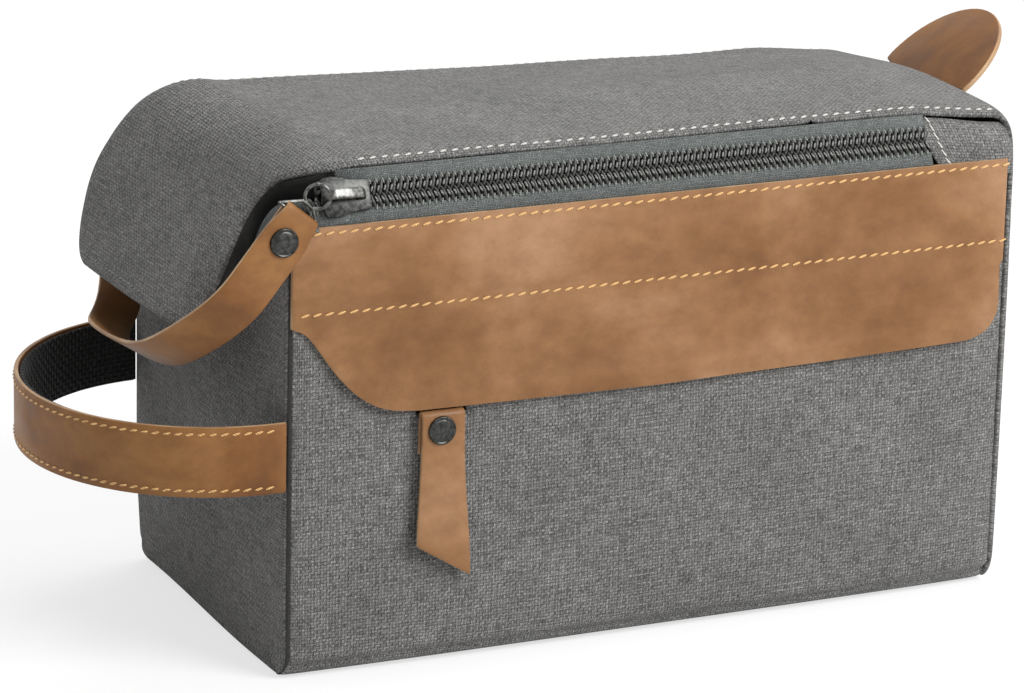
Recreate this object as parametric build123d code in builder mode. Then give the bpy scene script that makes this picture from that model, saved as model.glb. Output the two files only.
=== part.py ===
from build123d import *
import os
from math import cos, sin, radians, sqrt

# Toiletry bag: a box-shaped canvas bag with a lid between two long zips, leather trim,
# a carrying handle on the left end, and a zipped front pocket under a leather flap.
# X runs right along the front face, Y runs to the back, Z is up. The origin is the
# centre of the base.

# Driving dimensions of the bag, in millimetres
bag_length = 270.0
bag_depth = 138.0
front_height = 155.0
hem_rise = 15.5
hem_height = front_height + hem_rise
hem_half_width = 62.0
shoulder_rise = 4.5
shoulder_height = hem_height + shoulder_rise
shoulder_half_width = 51.0
crown_rise = 1.2
crown_height = shoulder_height + crown_rise
base_corner_radius = 16.0
end_droop = 4.0

# Sheet thicknesses
canvas = 2.0
lining = 0.6
leather = 1.8
strap_leather = 1.5
webbing = 1.4
tape = 0.8

# Clearances
sewn_gap = 0.2
fold_gap = 0.5
flap_fold_gap = 1.3
soft_gap = 0.4

# Lid and end flap
lid_fold_x = 103.5
flap_fold_x = -108.0
flap_fold_radius = 34.0
flap_lean = 35.0
flap_drop = 52.0
flap_half_width = 50.0
flap_corner_radius = 14.0
end_notch_depth = 33.0
end_notch_height = front_height - end_notch_depth
end_notch_half_width = 46.0

# Zips
coil_pitch = 2.34
coil_height = 3.2
coil_row_width = 4.5
coil_rail = 2.0
coil_clearance = 0.25
chain_position = 0.52
patch_edge = 0.5
patch_thickness = 1.2
slider_length = 19.0
slider_rest_x = -124.0
slider_mouth = 12.4
slider_throat = 10.2
slider_plate = 1.2
slider_bridge = 6.9
slider_travel = 205.0
ring_radius = 4.0
wire_radius = 0.55

# Pull strap between the two main sliders
strap_width = 17.0
strap_reach = 66.0
strap_bow = 30.0
strap_lap = 17.0
strap_hang = 31.0
strap_side_gap = 0.5
rivet_radius = 4.9
rivet_cap = 1.1
rivet_from_fold = 12.0

# Carrying handle on the left end
handle_width = 24.0
handle_low = 65.0

# Front pocket
band_width = 31.2
band_bottom = front_height - band_width
flap_length = 33.5
flap_bottom = band_bottom - flap_length
pocket_zip_rise = 13.7
pocket_zip_height = flap_bottom + pocket_zip_rise
pocket_zip_length = 200.0
pocket_zip_opening = 10.0
pocket_pitch = 2.6
pocket_pull_x = -80.8
pocket_pull_length = 56.0
pocket_pull_width = 15.5
pocket_pull_lap = 13.0
pocket_rivet_drop = 5.4
pocket_room = 7.0
pocket_coil_height = 2.0
pocket_tape_width = 6.0
pocket_depth = 85.0
pocket_backing_above = 8.0
flap_standoff = 1.5

# Leather tab on the right end
tab_half_width = 27.0
tab_length = 38.0
tab_straight = 9.0
tab_lean = 41.0
tab_thickness = 2.2

half_length = bag_length / 2
half_depth = bag_depth / 2
os.makedirs("parts", exist_ok=True)


def keep(part, name):
    """Label a finished piece and write its file."""
    part.label = name
    export_step(part, f"parts/{name}.step")


# The slanted plane that each main zip lies in runs from the top of the front panel to
# the lid's hem. Its local X is the bag's X, its local Y runs up the slope.
slope_run = half_depth - hem_half_width
slope_rise = hem_height - front_height
slope_length = sqrt(slope_run**2 + slope_rise**2)
slope_up = Vector(0, slope_run / slope_length, slope_rise / slope_length)
slope_out = Vector(0, -slope_rise / slope_length, slope_run / slope_length)
below_chain = slope_length * chain_position
above_chain = slope_length - below_chain
chain_centre = Vector(0, -half_depth, front_height) + slope_up * below_chain
zip_plane = Plane(origin=chain_centre, x_dir=(1, 0, 0), z_dir=slope_out)


def wall_with_corner():
    """One long wall's profile, from the base corner up to the zip, drawn as Y and Z."""
    inner_radius = base_corner_radius - canvas
    centre = (-half_depth + base_corner_radius, base_corner_radius)
    with BuildLine() as outline:
        outer = CenterArc(centre, base_corner_radius, 180, 90)
        step = Line(outer @ 1, outer @ 1 + Vector(0, canvas))
        inner = CenterArc(centre, inner_radius, 270, -90)
        rise = Line(inner @ 1, (-half_depth + canvas, front_height))
        top = Line(rise @ 1, (-half_depth, front_height))
        Line(top @ 1, outer @ 0)
    make_face(outline.edges())


with BuildPart() as front_panel:
    with BuildSketch(Plane.YZ.offset(-half_length)):
        wall_with_corner()
    extrude(amount=bag_length)
    with BuildSketch(Plane.XZ.offset(half_depth)):
        with Locations((0, pocket_zip_height)):
            RectangleRounded(pocket_zip_length, pocket_zip_opening, 2)
    extrude(amount=-canvas, mode=Mode.SUBTRACT)
keep(front_panel.part, "front_panel")

with BuildPart() as back_panel:
    with BuildSketch(Plane.YZ.offset(-half_length)):
        wall_with_corner()
    extrude(amount=bag_length)
    mirror(about=Plane.XZ, mode=Mode.REPLACE)
keep(back_panel.part, "back_panel")

with BuildPart() as bottom_panel:
    base_width = bag_depth - 2 * base_corner_radius - 2 * sewn_gap
    with BuildSketch():
        Rectangle(bag_length, base_width)
    extrude(amount=canvas)
keep(bottom_panel.part, "bottom_panel")

# The end panels stand between the long walls, so they are smaller by one canvas.
end_inset = canvas + sewn_gap
end_radius = base_corner_radius - end_inset
end_half_width = half_depth - end_inset

with BuildPart() as left_end_panel:
    with BuildSketch(Plane.YZ.offset(-half_length)):
        with BuildLine():
            foot = Line((0, end_inset), (end_half_width - end_radius, end_inset))
            bend = RadiusArc(foot @ 1, (end_half_width, end_inset + end_radius), -end_radius)
            side = Line(bend @ 1, (end_half_width, front_height - end_radius))
            notch = Spline(
                side @ 1,
                (end_notch_half_width, end_notch_height),
                tangents=((-1, -0.6), (-1, 0)),
            )
            Line(notch @ 1, (0, end_notch_height))
            mirror(about=Plane.YZ)
        make_face()
    extrude(amount=canvas)
keep(left_end_panel.part, "left_end_panel")

with BuildPart() as end_zip_tape:
    tape_rise = 7.0
    with BuildSketch(Plane.YZ.offset(-half_length + canvas + sewn_gap)):
        with BuildLine():
            tape_low = end_notch_height - tape_rise
            low = Line((0, tape_low), (end_notch_half_width, tape_low))
            curve = Spline(
                low @ 1,
                (end_half_width - lining, front_height - end_radius - tape_rise),
                tangents=((1, 0), (1, 0.6)),
            )
            outer = Line(curve @ 1, curve @ 1 + Vector(0, 2 * tape_rise))
            inner = Spline(
                outer @ 1,
                (end_notch_half_width, end_notch_height + tape_rise),
                tangents=((-1, -0.6), (-1, 0)),
            )
            Line(inner @ 1, (0, end_notch_height + tape_rise))
            mirror(about=Plane.YZ)
        make_face()
    extrude(amount=tape)
keep(end_zip_tape.part, "end_zip_tape")


def arch(half_width, hem, shoulder_half, shoulder, crown):
    """Half of the lid's outer curve from the hem to the crown, drawn as Y and Z."""
    edge = ThreePointArc(
        (half_width, hem),
        (half_width - 0.3 * (half_width - shoulder_half), hem + 0.75 * (shoulder - hem)),
        (shoulder_half, shoulder),
    )
    rise = 2 * (crown - shoulder) / shoulder_half
    Spline(edge @ 1, (0, crown), tangents=((-1, rise), (-1, 0)))


def lid_profile(droop):
    """The lid's cross-section, one canvas thick and open below."""
    with BuildLine() as outline:
        arch(
            hem_half_width,
            hem_height - droop,
            shoulder_half_width,
            shoulder_height - droop,
            crown_height - droop,
        )
        arch(
            hem_half_width - canvas,
            hem_height - droop,
            shoulder_half_width - canvas / 2,
            shoulder_height - canvas - droop,
            crown_height - canvas - droop,
        )
        Line((hem_half_width, hem_height - droop), (hem_half_width - canvas, hem_height - droop))
        mirror(about=Plane.YZ)
    make_face(outline.edges())


with BuildPart() as right_end_panel:
    wall = half_length - canvas
    with BuildSketch(Plane.YZ.offset(wall)):
        with BuildLine():
            foot = Line((0, end_inset), (end_half_width - end_radius, end_inset))
            bend = RadiusArc(foot @ 1, (end_half_width, end_inset + end_radius), -end_radius)
            side = Line(bend @ 1, (end_half_width, front_height))
            slope = Line(side @ 1, (hem_half_width - canvas, hem_height - end_droop - sewn_gap))
            arch(
                hem_half_width - canvas,
                hem_height - end_droop - sewn_gap,
                shoulder_half_width - canvas / 2,
                shoulder_height - canvas - end_droop - sewn_gap,
                crown_height - canvas - end_droop - sewn_gap,
            )
            mirror(about=Plane.YZ)
        make_face()
    extrude(amount=canvas)
keep(right_end_panel.part, "right_end_panel")

with BuildPart() as lid_panel:
    with BuildSketch(Plane.YZ.offset(flap_fold_x + flap_fold_gap)):
        lid_profile(0)
    extrude(amount=lid_fold_x - flap_fold_x - flap_fold_gap)
keep(lid_panel.part, "lid_panel")

with BuildPart() as top_end_panel:
    with BuildSketch(Plane.YZ.offset(lid_fold_x + fold_gap)):
        lid_profile(0)
    with BuildSketch(Plane.YZ.offset(half_length)):
        lid_profile(end_droop)
    loft(ruled=True)
keep(top_end_panel.part, "top_end_panel")

with BuildPart() as lid_lining:
    under = canvas + sewn_gap
    with BuildSketch(Plane.YZ.offset(flap_fold_x + canvas)):
        with BuildLine():
            outer = ThreePointArc(
                (-shoulder_half_width + canvas, shoulder_height - under),
                (0, crown_height - under),
                (shoulder_half_width - canvas, shoulder_height - under),
            )
            Line(outer @ 1, outer @ 1 - Vector(0, lining))
            inner = ThreePointArc(
                (shoulder_half_width - canvas, shoulder_height - under - lining),
                (0, crown_height - under - lining),
                (-shoulder_half_width + canvas, shoulder_height - under - lining),
            )
            Line(inner @ 1, outer @ 0)
        make_face()
    extrude(amount=lid_fold_x - flap_fold_x - 2 * canvas)
keep(lid_lining.part, "lid_lining")


def flap_sheet(depth_in, thickness, drop):
    """The end flap's profile, drawn as X and Z: a round fold and a straight leaning drop."""
    centre = Vector(flap_fold_x, crown_height - flap_fold_radius)
    outer_radius = flap_fold_radius - depth_in
    inner_radius = outer_radius - thickness
    along = Vector(-sin(radians(flap_lean)), -cos(radians(flap_lean)))
    inward = Vector(cos(radians(flap_lean)), -sin(radians(flap_lean)))
    with BuildLine() as outline:
        fold = CenterArc(centre, outer_radius, 90, 90 - flap_lean)
        fall = Line(fold @ 1, fold @ 1 + along * drop)
        edge = Line(fall @ 1, fall @ 1 + inward * thickness)
        back = Line(edge @ 1, edge @ 1 - along * drop)
        under = CenterArc(centre, inner_radius, 180 - flap_lean, flap_lean - 90)
        Line(under @ 1, fold @ 0)
    make_face(outline.edges())


# The flap's outline seen along X, which trims every layer of the flap.
flap_low = crown_height - flap_fold_radius * (1 - sin(radians(90 + 90 - flap_lean)))
flap_low -= flap_drop * cos(radians(flap_lean))


def flap_outline(inset):
    with BuildLine() as outline:
        bottom = flap_low - canvas + inset
        half = flap_half_width - inset
        foot = Line((0, bottom), (half - flap_corner_radius, bottom))
        bend = RadiusArc(foot @ 1, (half, bottom + flap_corner_radius), -flap_corner_radius)
        side = Line(bend @ 1, (half, crown_height - flap_fold_radius))
        flare = Line(side @ 1, (half + 6, crown_height + 1))
        Line(flare @ 1, (0, crown_height + 1))
        mirror(about=Plane.YZ)
    make_face(outline.edges())


with BuildPart() as end_flap_panel:
    with BuildSketch(Plane.XZ.offset(-hem_half_width)):
        flap_sheet(0, canvas, flap_drop)
    extrude(amount=2 * hem_half_width)
    with BuildSketch(Plane.YZ.offset(-bag_length)):
        flap_outline(0)
    extrude(amount=bag_length, mode=Mode.INTERSECT)
keep(end_flap_panel.part, "end_flap_panel")

with BuildPart() as end_flap_lining:
    tape_width = 10.0
    lining_half = flap_half_width - tape_width - sewn_gap
    with BuildSketch(Plane.XZ.offset(-lining_half)):
        flap_sheet(canvas + sewn_gap, lining, flap_drop - canvas)
    extrude(amount=2 * lining_half)
keep(end_flap_lining.part, "end_flap_lining")

for tape_name, side in (("front_flap_tape", 1), ("rear_flap_tape", -1)):
    near = side * (flap_half_width - tape_width)
    with BuildPart() as end_flap_tape:
        with BuildSketch(Plane.XZ.offset(near)):
            flap_sheet(canvas + sewn_gap, tape, flap_drop - flap_corner_radius)
        extrude(amount=side * (tape_width - 0.5))
    keep(end_flap_tape.part, tape_name)

# The lining is an open box that follows the walls inside the canvas.
with BuildPart() as body_lining:
    inside = canvas + sewn_gap
    lining_top = end_notch_height - 10
    inside_depth = bag_depth - 2 * inside - pocket_room
    with BuildSketch(Plane.XY.offset(inside)):
        with Locations((0, pocket_room / 2)):
            Rectangle(bag_length - 2 * inside - 2 * tape, inside_depth)
    extrude(amount=lining_top - inside)
    long_edges = body_lining.edges().filter_by(Axis.X).group_by(Axis.Z)[0]
    fillet(long_edges, base_corner_radius - inside)
    offset(amount=-lining, openings=body_lining.faces().sort_by(Axis.Z)[-1])
keep(body_lining.part, "body_lining")

# The leather band is sewn along its top edge and along its lower edge. The flap is the
# free part of the same hide, and swings on the lower seam.
band_half = half_length - 1.0
with BuildPart() as leather_band:
    with BuildSketch(Plane.XZ.offset(half_depth)):
        with Locations((0, (front_height + band_bottom) / 2)):
            Rectangle(2 * band_half, front_height - band_bottom)
    extrude(amount=leather)
    front_edges = leather_band.edges().filter_by(Axis.X).group_by(Axis.Y)[0]
    chamfer(front_edges, 0.4)
keep(leather_band.part, "leather_band")

flap_back = half_depth + flap_standoff
flap_root_height = band_bottom - soft_gap - leather / 2
with BuildPart() as leather_flap:
    with BuildSketch(Plane.XZ.offset(flap_back)):
        with BuildLine():
            top = flap_root_height
            upper = Line((-band_half + 0.5, top), (band_half - 1.5, top))
            Polyline(
                upper @ 1,
                (band_half - 1.5, top - 3),
                (band_half - 6.5, top - 7),
                (band_half - 4.0, top - 20),
            )
            right = RadiusArc(
                (band_half - 4.0, top - 20), (band_half - 15.0, flap_bottom), 13.5
            )
            lower = Line(right @ 1, (-band_half + 38, flap_bottom))
            left = Spline(
                lower @ 1,
                (-band_half + 21, flap_bottom + 9),
                (-band_half + 11, top - 9),
                (-band_half + 0.5, top - 5),
                tangents=((-1, 0), (-1, 0.2)),
            )
            Line(left @ 1, upper @ 0)
        make_face()
    extrude(amount=leather)
    with BuildSketch(Plane.YZ.offset(-band_half + 0.5)):
        with Locations((-flap_back - leather / 2, flap_root_height)):
            Circle(leather / 2)
    extrude(amount=2 * band_half - 2)
keep(leather_flap.part, "leather_flap")


def comb(first_x, last_x, pitch, phase):
    """One row of zip coil: a rail with teeth that reach into the other row's gaps."""
    count = int((last_x - first_x) / pitch)
    reach = coil_row_width - coil_rail
    with Locations(((first_x + last_x) / 2, -coil_row_width + coil_rail / 2 + 0.9)):
        Rectangle(last_x - first_x, coil_rail)
    middle = first_x + pitch * (count / 2 + phase)
    with Locations((middle, 0.9 - reach / 2)):
        with GridLocations(pitch, 0, count - 1, 1):
            Rectangle(pitch / 2 - coil_clearance, reach)


def meshing_phase(start, other_start, pitch):
    """The shift, in pitches, that sets a row's teeth midway between the other row's."""
    offset_in_pitches = (start - other_start) / pitch
    return 0.5 - (offset_in_pitches - int(offset_in_pitches))


tape_clear = coil_row_width - 0.9
zip_end_x = lid_fold_x - 1.5
body_row_start = slider_rest_x - 4
lid_row_start = flap_fold_x + flap_fold_gap


def body_row():
    """The body's row of coil in the zip plane."""
    with BuildSketch(zip_plane.offset(-coil_height / 2)) as face:
        comb(body_row_start, zip_end_x, coil_pitch, 0)
    extrude(face.sketch, amount=coil_height)


def lid_row():
    """The lid's row of coil, turned over and half a pitch along, so its teeth interlock."""
    phase = meshing_phase(lid_row_start, body_row_start, coil_pitch)
    turned = Plane(origin=chain_centre, x_dir=(1, 0, 0), z_dir=slope_out * -1)
    with BuildSketch(turned.offset(-coil_height / 2)) as face:
        comb(lid_row_start, zip_end_x, coil_pitch, phase)
    extrude(face.sketch, amount=coil_height)


def body_tape():
    with BuildSketch(zip_plane.offset(-tape / 2)) as face:
        with Locations((0, -(below_chain + tape_clear) / 2 + sewn_gap)):
            Rectangle(2 * zip_end_x, below_chain - tape_clear - 2 * sewn_gap)
    extrude(face.sketch, amount=tape)


def lid_tape():
    with BuildSketch(zip_plane.offset(-tape / 2)) as face:
        middle_x = (lid_row_start + zip_end_x) / 2
        with Locations((middle_x, (above_chain + tape_clear) / 2 - sewn_gap)):
            Rectangle(zip_end_x - lid_row_start, above_chain - tape_clear - 2 * sewn_gap)
    extrude(face.sketch, amount=tape)


def end_patch():
    """The canvas patch that closes the zip's right end."""
    with BuildSketch(zip_plane.offset(-tape / 2)) as face:
        with BuildLine() as outline:
            Polyline(
                (zip_end_x + sewn_gap, -below_chain + patch_edge),
                (half_length - sewn_gap, -below_chain + patch_edge),
                (half_length - sewn_gap, above_chain - end_droop - patch_edge),
                (lid_fold_x + fold_gap, above_chain - patch_edge),
                (zip_end_x + sewn_gap, above_chain - patch_edge),
                close=True,
            )
        make_face(outline.edges())
    extrude(face.sketch, amount=patch_thickness)


# Both zips are alike, so the rear one is the front one seen in a mirror.
zip_pieces = {
    "lower_tape": body_tape,
    "lower_coil": body_row,
    "upper_tape": lid_tape,
    "upper_coil": lid_row,
    "end_patch": end_patch,
}
for piece_name, make_piece in zip_pieces.items():
    with BuildPart() as front_piece:
        make_piece()
    keep(front_piece.part, f"front_{piece_name}")
    with BuildPart() as rear_piece:
        add(front_piece.part)
        mirror(about=Plane.XZ, mode=Mode.REPLACE)
    keep(rear_piece.part, f"rear_{piece_name}")

# Main slider: two plates joined by a wedge at the mouth, rims that hold the coil, and a
# bridge whose front leg carries the ring.
channel_half = coil_height / 2 + 0.4
coil_half = coil_row_width - 0.9 + 0.3
slider_end_x = slider_rest_x + slider_length
plate_bottom = channel_half
plate_top = channel_half + slider_plate
leg_x = slider_rest_x + 1.5
ring_lift = plate_top + slider_bridge * 0.52
ring_centre = Vector(leg_x, 0, 0) + chain_centre + slope_out * ring_lift


def slider_outline(half_mouth, half_throat):
    with BuildLine() as outline:
        Polyline(
            (slider_rest_x, -half_mouth),
            (slider_rest_x + 0.45 * slider_length, -half_mouth),
            (slider_end_x, -half_throat),
            (slider_end_x, half_throat),
            (slider_rest_x + 0.45 * slider_length, half_mouth),
            (slider_rest_x, half_mouth),
            close=True,
        )
    make_face(outline.edges())


def slider():
    with BuildSketch(zip_plane.offset(-plate_top)) as face:
        slider_outline(slider_mouth / 2, slider_throat / 2)
    extrude(face.sketch, amount=2 * plate_top)
    with BuildSketch(zip_plane.offset(-channel_half)) as face:
        with Locations((slider_rest_x + slider_length / 2, 0)):
            Rectangle(slider_length, 2 * coil_half)
    extrude(face.sketch, amount=2 * channel_half, mode=Mode.SUBTRACT)
    with BuildSketch(zip_plane.offset(-tape / 2 - coil_clearance)) as face:
        with Locations((slider_rest_x + slider_length / 2, 0)):
            Rectangle(slider_length, 2 * slider_mouth)
    extrude(face.sketch, amount=tape + 2 * coil_clearance, mode=Mode.SUBTRACT)
    with BuildSketch(zip_plane.offset(-channel_half)) as face:
        with Locations((slider_rest_x + 1.6, 1.0 + coil_clearance + 0.9)):
            Ellipse(1.5, 0.9)
    extrude(face.sketch, amount=2 * channel_half)
    bridge_side = Plane(origin=chain_centre, x_dir=(1, 0, 0), z_dir=slope_up * -1)
    with BuildSketch(bridge_side.offset(-1.2)) as face:
        with BuildLine() as outline:
            Polyline(
                (leg_x - 1.0, plate_top - 0.2),
                (leg_x - 1.0, plate_top + slider_bridge - 1.0),
                (leg_x + 0.6, plate_top + slider_bridge),
                (slider_end_x - 5.0, plate_top + slider_bridge - 1.6),
                (slider_end_x - 2.4, plate_top - 0.2),
                (slider_end_x - 4.0, plate_top - 0.2),
                (slider_end_x - 6.2, plate_top + slider_bridge - 3.2),
                (leg_x + 1.0, plate_top + slider_bridge - 1.6),
                (leg_x + 1.0, plate_top - 0.2),
                close=True,
            )
        make_face(outline.edges())
    extrude(face.sketch, amount=2.4)


def ring():
    """A round ring about the bridge's front leg, facing the front."""
    with BuildSketch(Plane(origin=ring_centre, x_dir=(1, 0, 0), z_dir=(0, 0, 1))) as face:
        with Locations((ring_radius, 0)):
            Circle(wire_radius)
    revolve(face.sketch, axis=Axis(ring_centre, (0, 1, 0)), revolution_arc=360)


# The strap hangs from the rings in its own plane. Its local X runs along the hang, its
# local Y is the bag's Y, and its width runs square to both.
hang = Vector(-cos(radians(90 - strap_hang)), 0, -sin(radians(90 - strap_hang)))
across = Vector(-cos(radians(strap_hang)), 0, sin(radians(strap_hang)))
strap_top = Vector(ring_centre.X, 0, ring_centre.Z)
strap_plane = Plane(origin=strap_top, x_dir=hang, z_dir=hang.cross(Vector(0, 1, 0)))
strap_face = half_depth + leather + strap_side_gap
fold_start = 6.2
bar_reach = fold_start + 1.6
loop_half = strap_face + 2 * strap_leather
bar_y = strap_face + strap_leather


def strap():
    """The strap seen along its width: two arms, a round end, and a lap inside each fold."""
    inner_half = loop_half - strap_leather
    arm = strap_reach - strap_bow
    with BuildLine() as outline:
        outer = EllipticalCenterArc((arm, 0), strap_bow, loop_half, -90, arc_size=180)
        near = Line(outer @ 1, (fold_start, loop_half))
        fold = Line(near @ 1, (fold_start, strap_face))
        lap = Line(fold @ 1, (fold_start + strap_lap, strap_face))
        end = Line(lap @ 1, (fold_start + strap_lap, inner_half))
        back = Line(end @ 1, (arm, inner_half))
        inner = EllipticalCenterArc((arm, 0), strap_bow - strap_leather, inner_half, 90, arc_size=-180)
        far_back = Line(inner @ 1, (fold_start + strap_lap, -inner_half))
        far_end = Line(far_back @ 1, (fold_start + strap_lap, -strap_face))
        far_lap = Line(far_end @ 1, (fold_start, -strap_face))
        far_fold = Line(far_lap @ 1, (fold_start, -loop_half))
        Line(far_fold @ 1, outer @ 0)
    make_face(outline.edges())
    for way in (-1, 1):
        with Locations((bar_reach, way * bar_y)):
            Circle(wire_radius + sewn_gap, mode=Mode.SUBTRACT)


with BuildPart() as pull_strap:
    with BuildSketch(strap_plane.offset(-strap_width / 2)):
        strap()
    extrude(amount=strap_width)
keep(pull_strap.part, "pull_strap")


def wire_link(points, radius):
    """A closed wire through the given points, with a ball at each bend."""
    for here, there in zip(points, points[1:] + points[:1]):
        run = Plane(origin=here, z_dir=there - here)
        with BuildSketch(run) as face:
            Circle(radius)
        extrude(face.sketch, amount=(there - here).length)
        with Locations(here):
            Sphere(radius)


# The link's path from the centre of the ring: along the hang, across the strap, and
# forward. It passes through the ring once, so the two hang together.
link_half = strap_width / 2 + wire_radius + sewn_gap
bar_forward = bar_y + ring_centre.Y
link_turn = fold_start - wire_radius - sewn_gap
link_path = [
    (bar_reach, -link_half, bar_forward),
    (link_turn, -link_half, bar_forward),
    (3.6, -3.4, 1.5),
    (2.6, -1.0, 0.8),
    (2.6, 1.0, -0.8),
    (3.6, 3.4, -1.5),
    (link_turn, link_half, bar_forward),
    (bar_reach, link_half, bar_forward),
]

for side_name, flip in (("front", False), ("rear", True)):
    with BuildPart() as slider_body:
        slider()
        if flip:
            mirror(about=Plane.XZ, mode=Mode.REPLACE)
    keep(slider_body.part, f"{side_name}_slider_body")
    with BuildPart() as slider_ring:
        ring()
        if flip:
            mirror(about=Plane.XZ, mode=Mode.REPLACE)
    keep(slider_ring.part, f"{side_name}_ring")
    with BuildPart() as strap_link:
        wire_link(
            [ring_centre + hang * u + across * v + Vector(0, -t, 0) for u, v, t in link_path],
            wire_radius,
        )
        if flip:
            mirror(about=Plane.XZ, mode=Mode.REPLACE)
    keep(strap_link.part, f"{side_name}_strap_link")
    with BuildPart() as strap_rivet:
        at_rivet = strap_top + hang * (fold_start + rivet_from_fold)
        rivet_plane = Plane(origin=at_rivet, x_dir=(1, 0, 0), z_dir=(0, -1, 0))
        with BuildSketch(rivet_plane.offset(loop_half)):
            Circle(rivet_radius)
        extrude(amount=rivet_cap)
        fillet(strap_rivet.edges().group_by(Axis.Y)[0], 0.7)
        if flip:
            mirror(about=Plane.XZ, mode=Mode.REPLACE)
    keep(strap_rivet.part, f"{side_name}_strap_rivet")


def half_band(outer_radius, thickness, low, height):
    """A half-round band that stands out from the left end."""
    with BuildSketch(Plane.XY.offset(low)) as face:
        with BuildLine() as outline:
            outer = CenterArc((-half_length - sewn_gap, 0), outer_radius, 90, 180)
            step = Line(outer @ 1, outer @ 1 + Vector(0, thickness))
            inner = CenterArc((-half_length - sewn_gap, 0), outer_radius - thickness, 270, -180)
            Line(inner @ 1, outer @ 0)
        make_face(outline.edges())
    extrude(face.sketch, amount=height)


with BuildPart() as handle_leather:
    half_band(half_depth, leather, handle_low, handle_width)
keep(handle_leather.part, "handle_leather")

with BuildPart() as handle_webbing:
    half_band(half_depth - leather - 0.05, webbing, handle_low + 1, handle_width - 2)
keep(handle_webbing.part, "handle_webbing")

# The pocket's zip lies just inside the slot of the front panel, behind the leather flap.
pocket_chain_y = -half_depth + canvas + sewn_gap + pocket_coil_height / 2
pocket_chain = Vector(0, pocket_chain_y, pocket_zip_height)
pocket_plane = Plane(origin=pocket_chain, x_dir=(1, 0, 0), z_dir=(0, -1, 0))
pocket_half = pocket_zip_length / 2 - 1.0
with BuildPart() as pocket_lower_coil:
    with BuildSketch(pocket_plane.offset(-pocket_coil_height / 2)):
        comb(-pocket_half, pocket_half, pocket_pitch, 0)
    extrude(amount=pocket_coil_height)
keep(pocket_lower_coil.part, "pocket_lower_coil")

with BuildPart() as pocket_upper_coil:
    pocket_turned = Plane(origin=pocket_chain, x_dir=(1, 0, 0), z_dir=(0, 1, 0))
    with BuildSketch(pocket_turned.offset(-pocket_coil_height / 2)):
        pocket_row_start = pocket_pull_x - 3.2
        pocket_phase = meshing_phase(pocket_row_start, -pocket_half, pocket_pitch)
        comb(pocket_row_start, pocket_half, pocket_pitch, pocket_phase)
    extrude(amount=pocket_coil_height)
keep(pocket_upper_coil.part, "pocket_upper_coil")

with BuildPart() as pocket_tape:
    pocket_tape_near = coil_row_width - 0.9 + sewn_gap
    with BuildSketch(pocket_plane.offset(-tape / 2)):
        Rectangle(2 * pocket_half + 14, 2 * (pocket_tape_near + pocket_tape_width))
        Rectangle(2 * pocket_half + 2, 2 * pocket_tape_near, mode=Mode.SUBTRACT)
    extrude(amount=tape)
keep(pocket_tape.part, "pocket_tape")

with BuildPart() as pocket_backing:
    backing_top = pocket_zip_height + pocket_backing_above
    with BuildSketch(Plane.XZ.offset(half_depth - inside - pocket_room + sewn_gap)):
        with Locations((0, backing_top - pocket_depth / 2)):
            RectangleRounded(pocket_zip_length + 24, pocket_depth, 8)
    extrude(amount=lining)
keep(pocket_backing.part, "pocket_backing")

# The pocket's slider has a plate each side of the coil and a bridge in front. Its link
# reaches down behind the flap and carries the leather pull just below the flap's edge.
pocket_channel = pocket_coil_height / 2 + soft_gap
pocket_plate = 0.8
pocket_rim = 0.75
pocket_slider_length = 11.0
pocket_channel_half = coil_row_width - 0.9 + coil_clearance
with BuildPart() as pocket_slider_body:
    with BuildSketch(pocket_plane.offset(-pocket_channel - pocket_plate)):
        with Locations((pocket_pull_x, 0)):
            RectangleRounded(pocket_slider_length, 2 * (pocket_channel_half + pocket_rim), 1.2)
    extrude(amount=2 * (pocket_channel + pocket_plate))
    with BuildSketch(pocket_plane.offset(-pocket_channel)):
        with Locations((pocket_pull_x, 0)):
            Rectangle(pocket_slider_length, 2 * pocket_channel_half)
    extrude(amount=2 * pocket_channel, mode=Mode.SUBTRACT)
    with BuildSketch(pocket_plane.offset(-tape / 2 - coil_clearance)):
        with Locations((pocket_pull_x, 0)):
            Rectangle(pocket_slider_length, 4 * pocket_channel_half)
    extrude(amount=tape + 2 * coil_clearance, mode=Mode.SUBTRACT)
    with BuildSketch(pocket_plane.offset(-pocket_channel)):
        with Locations((pocket_pull_x - 4.4, 0.9 + coil_clearance + 0.6)):
            Rectangle(1.2, 1.2)
    extrude(amount=2 * pocket_channel)
    with BuildSketch(pocket_plane.offset(pocket_channel + pocket_plate)):
        with Locations((pocket_pull_x, -1.0)):
            Rectangle(4, 4)
    extrude(amount=flap_standoff + canvas - pocket_plate - 2 * soft_gap - wire_radius)
keep(pocket_slider_body.part, "pocket_slider_body")

fold_radius = strap_leather + wire_radius
pull_pivot = Vector(pocket_pull_x, -flap_back - flap_standoff, flap_bottom - soft_gap - fold_radius)
link_y = -half_depth - wire_radius - sewn_gap
pocket_link_half = pocket_pull_width / 2 + wire_radius + sewn_gap
with BuildPart() as pocket_link:
    wire_link(
        [
            pull_pivot + Vector(-pocket_link_half, 0, 0),
            Vector(pocket_pull_x - pocket_link_half, link_y, flap_bottom - 0.2),
            Vector(pocket_pull_x - 2.2, link_y, pocket_zip_height - 4.2),
            Vector(pocket_pull_x + 2.2, link_y, pocket_zip_height - 4.2),
            Vector(pocket_pull_x + pocket_link_half, link_y, flap_bottom - 0.2),
            pull_pivot + Vector(pocket_link_half, 0, 0),
        ],
        wire_radius,
    )
keep(pocket_link.part, "pocket_link")

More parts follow.
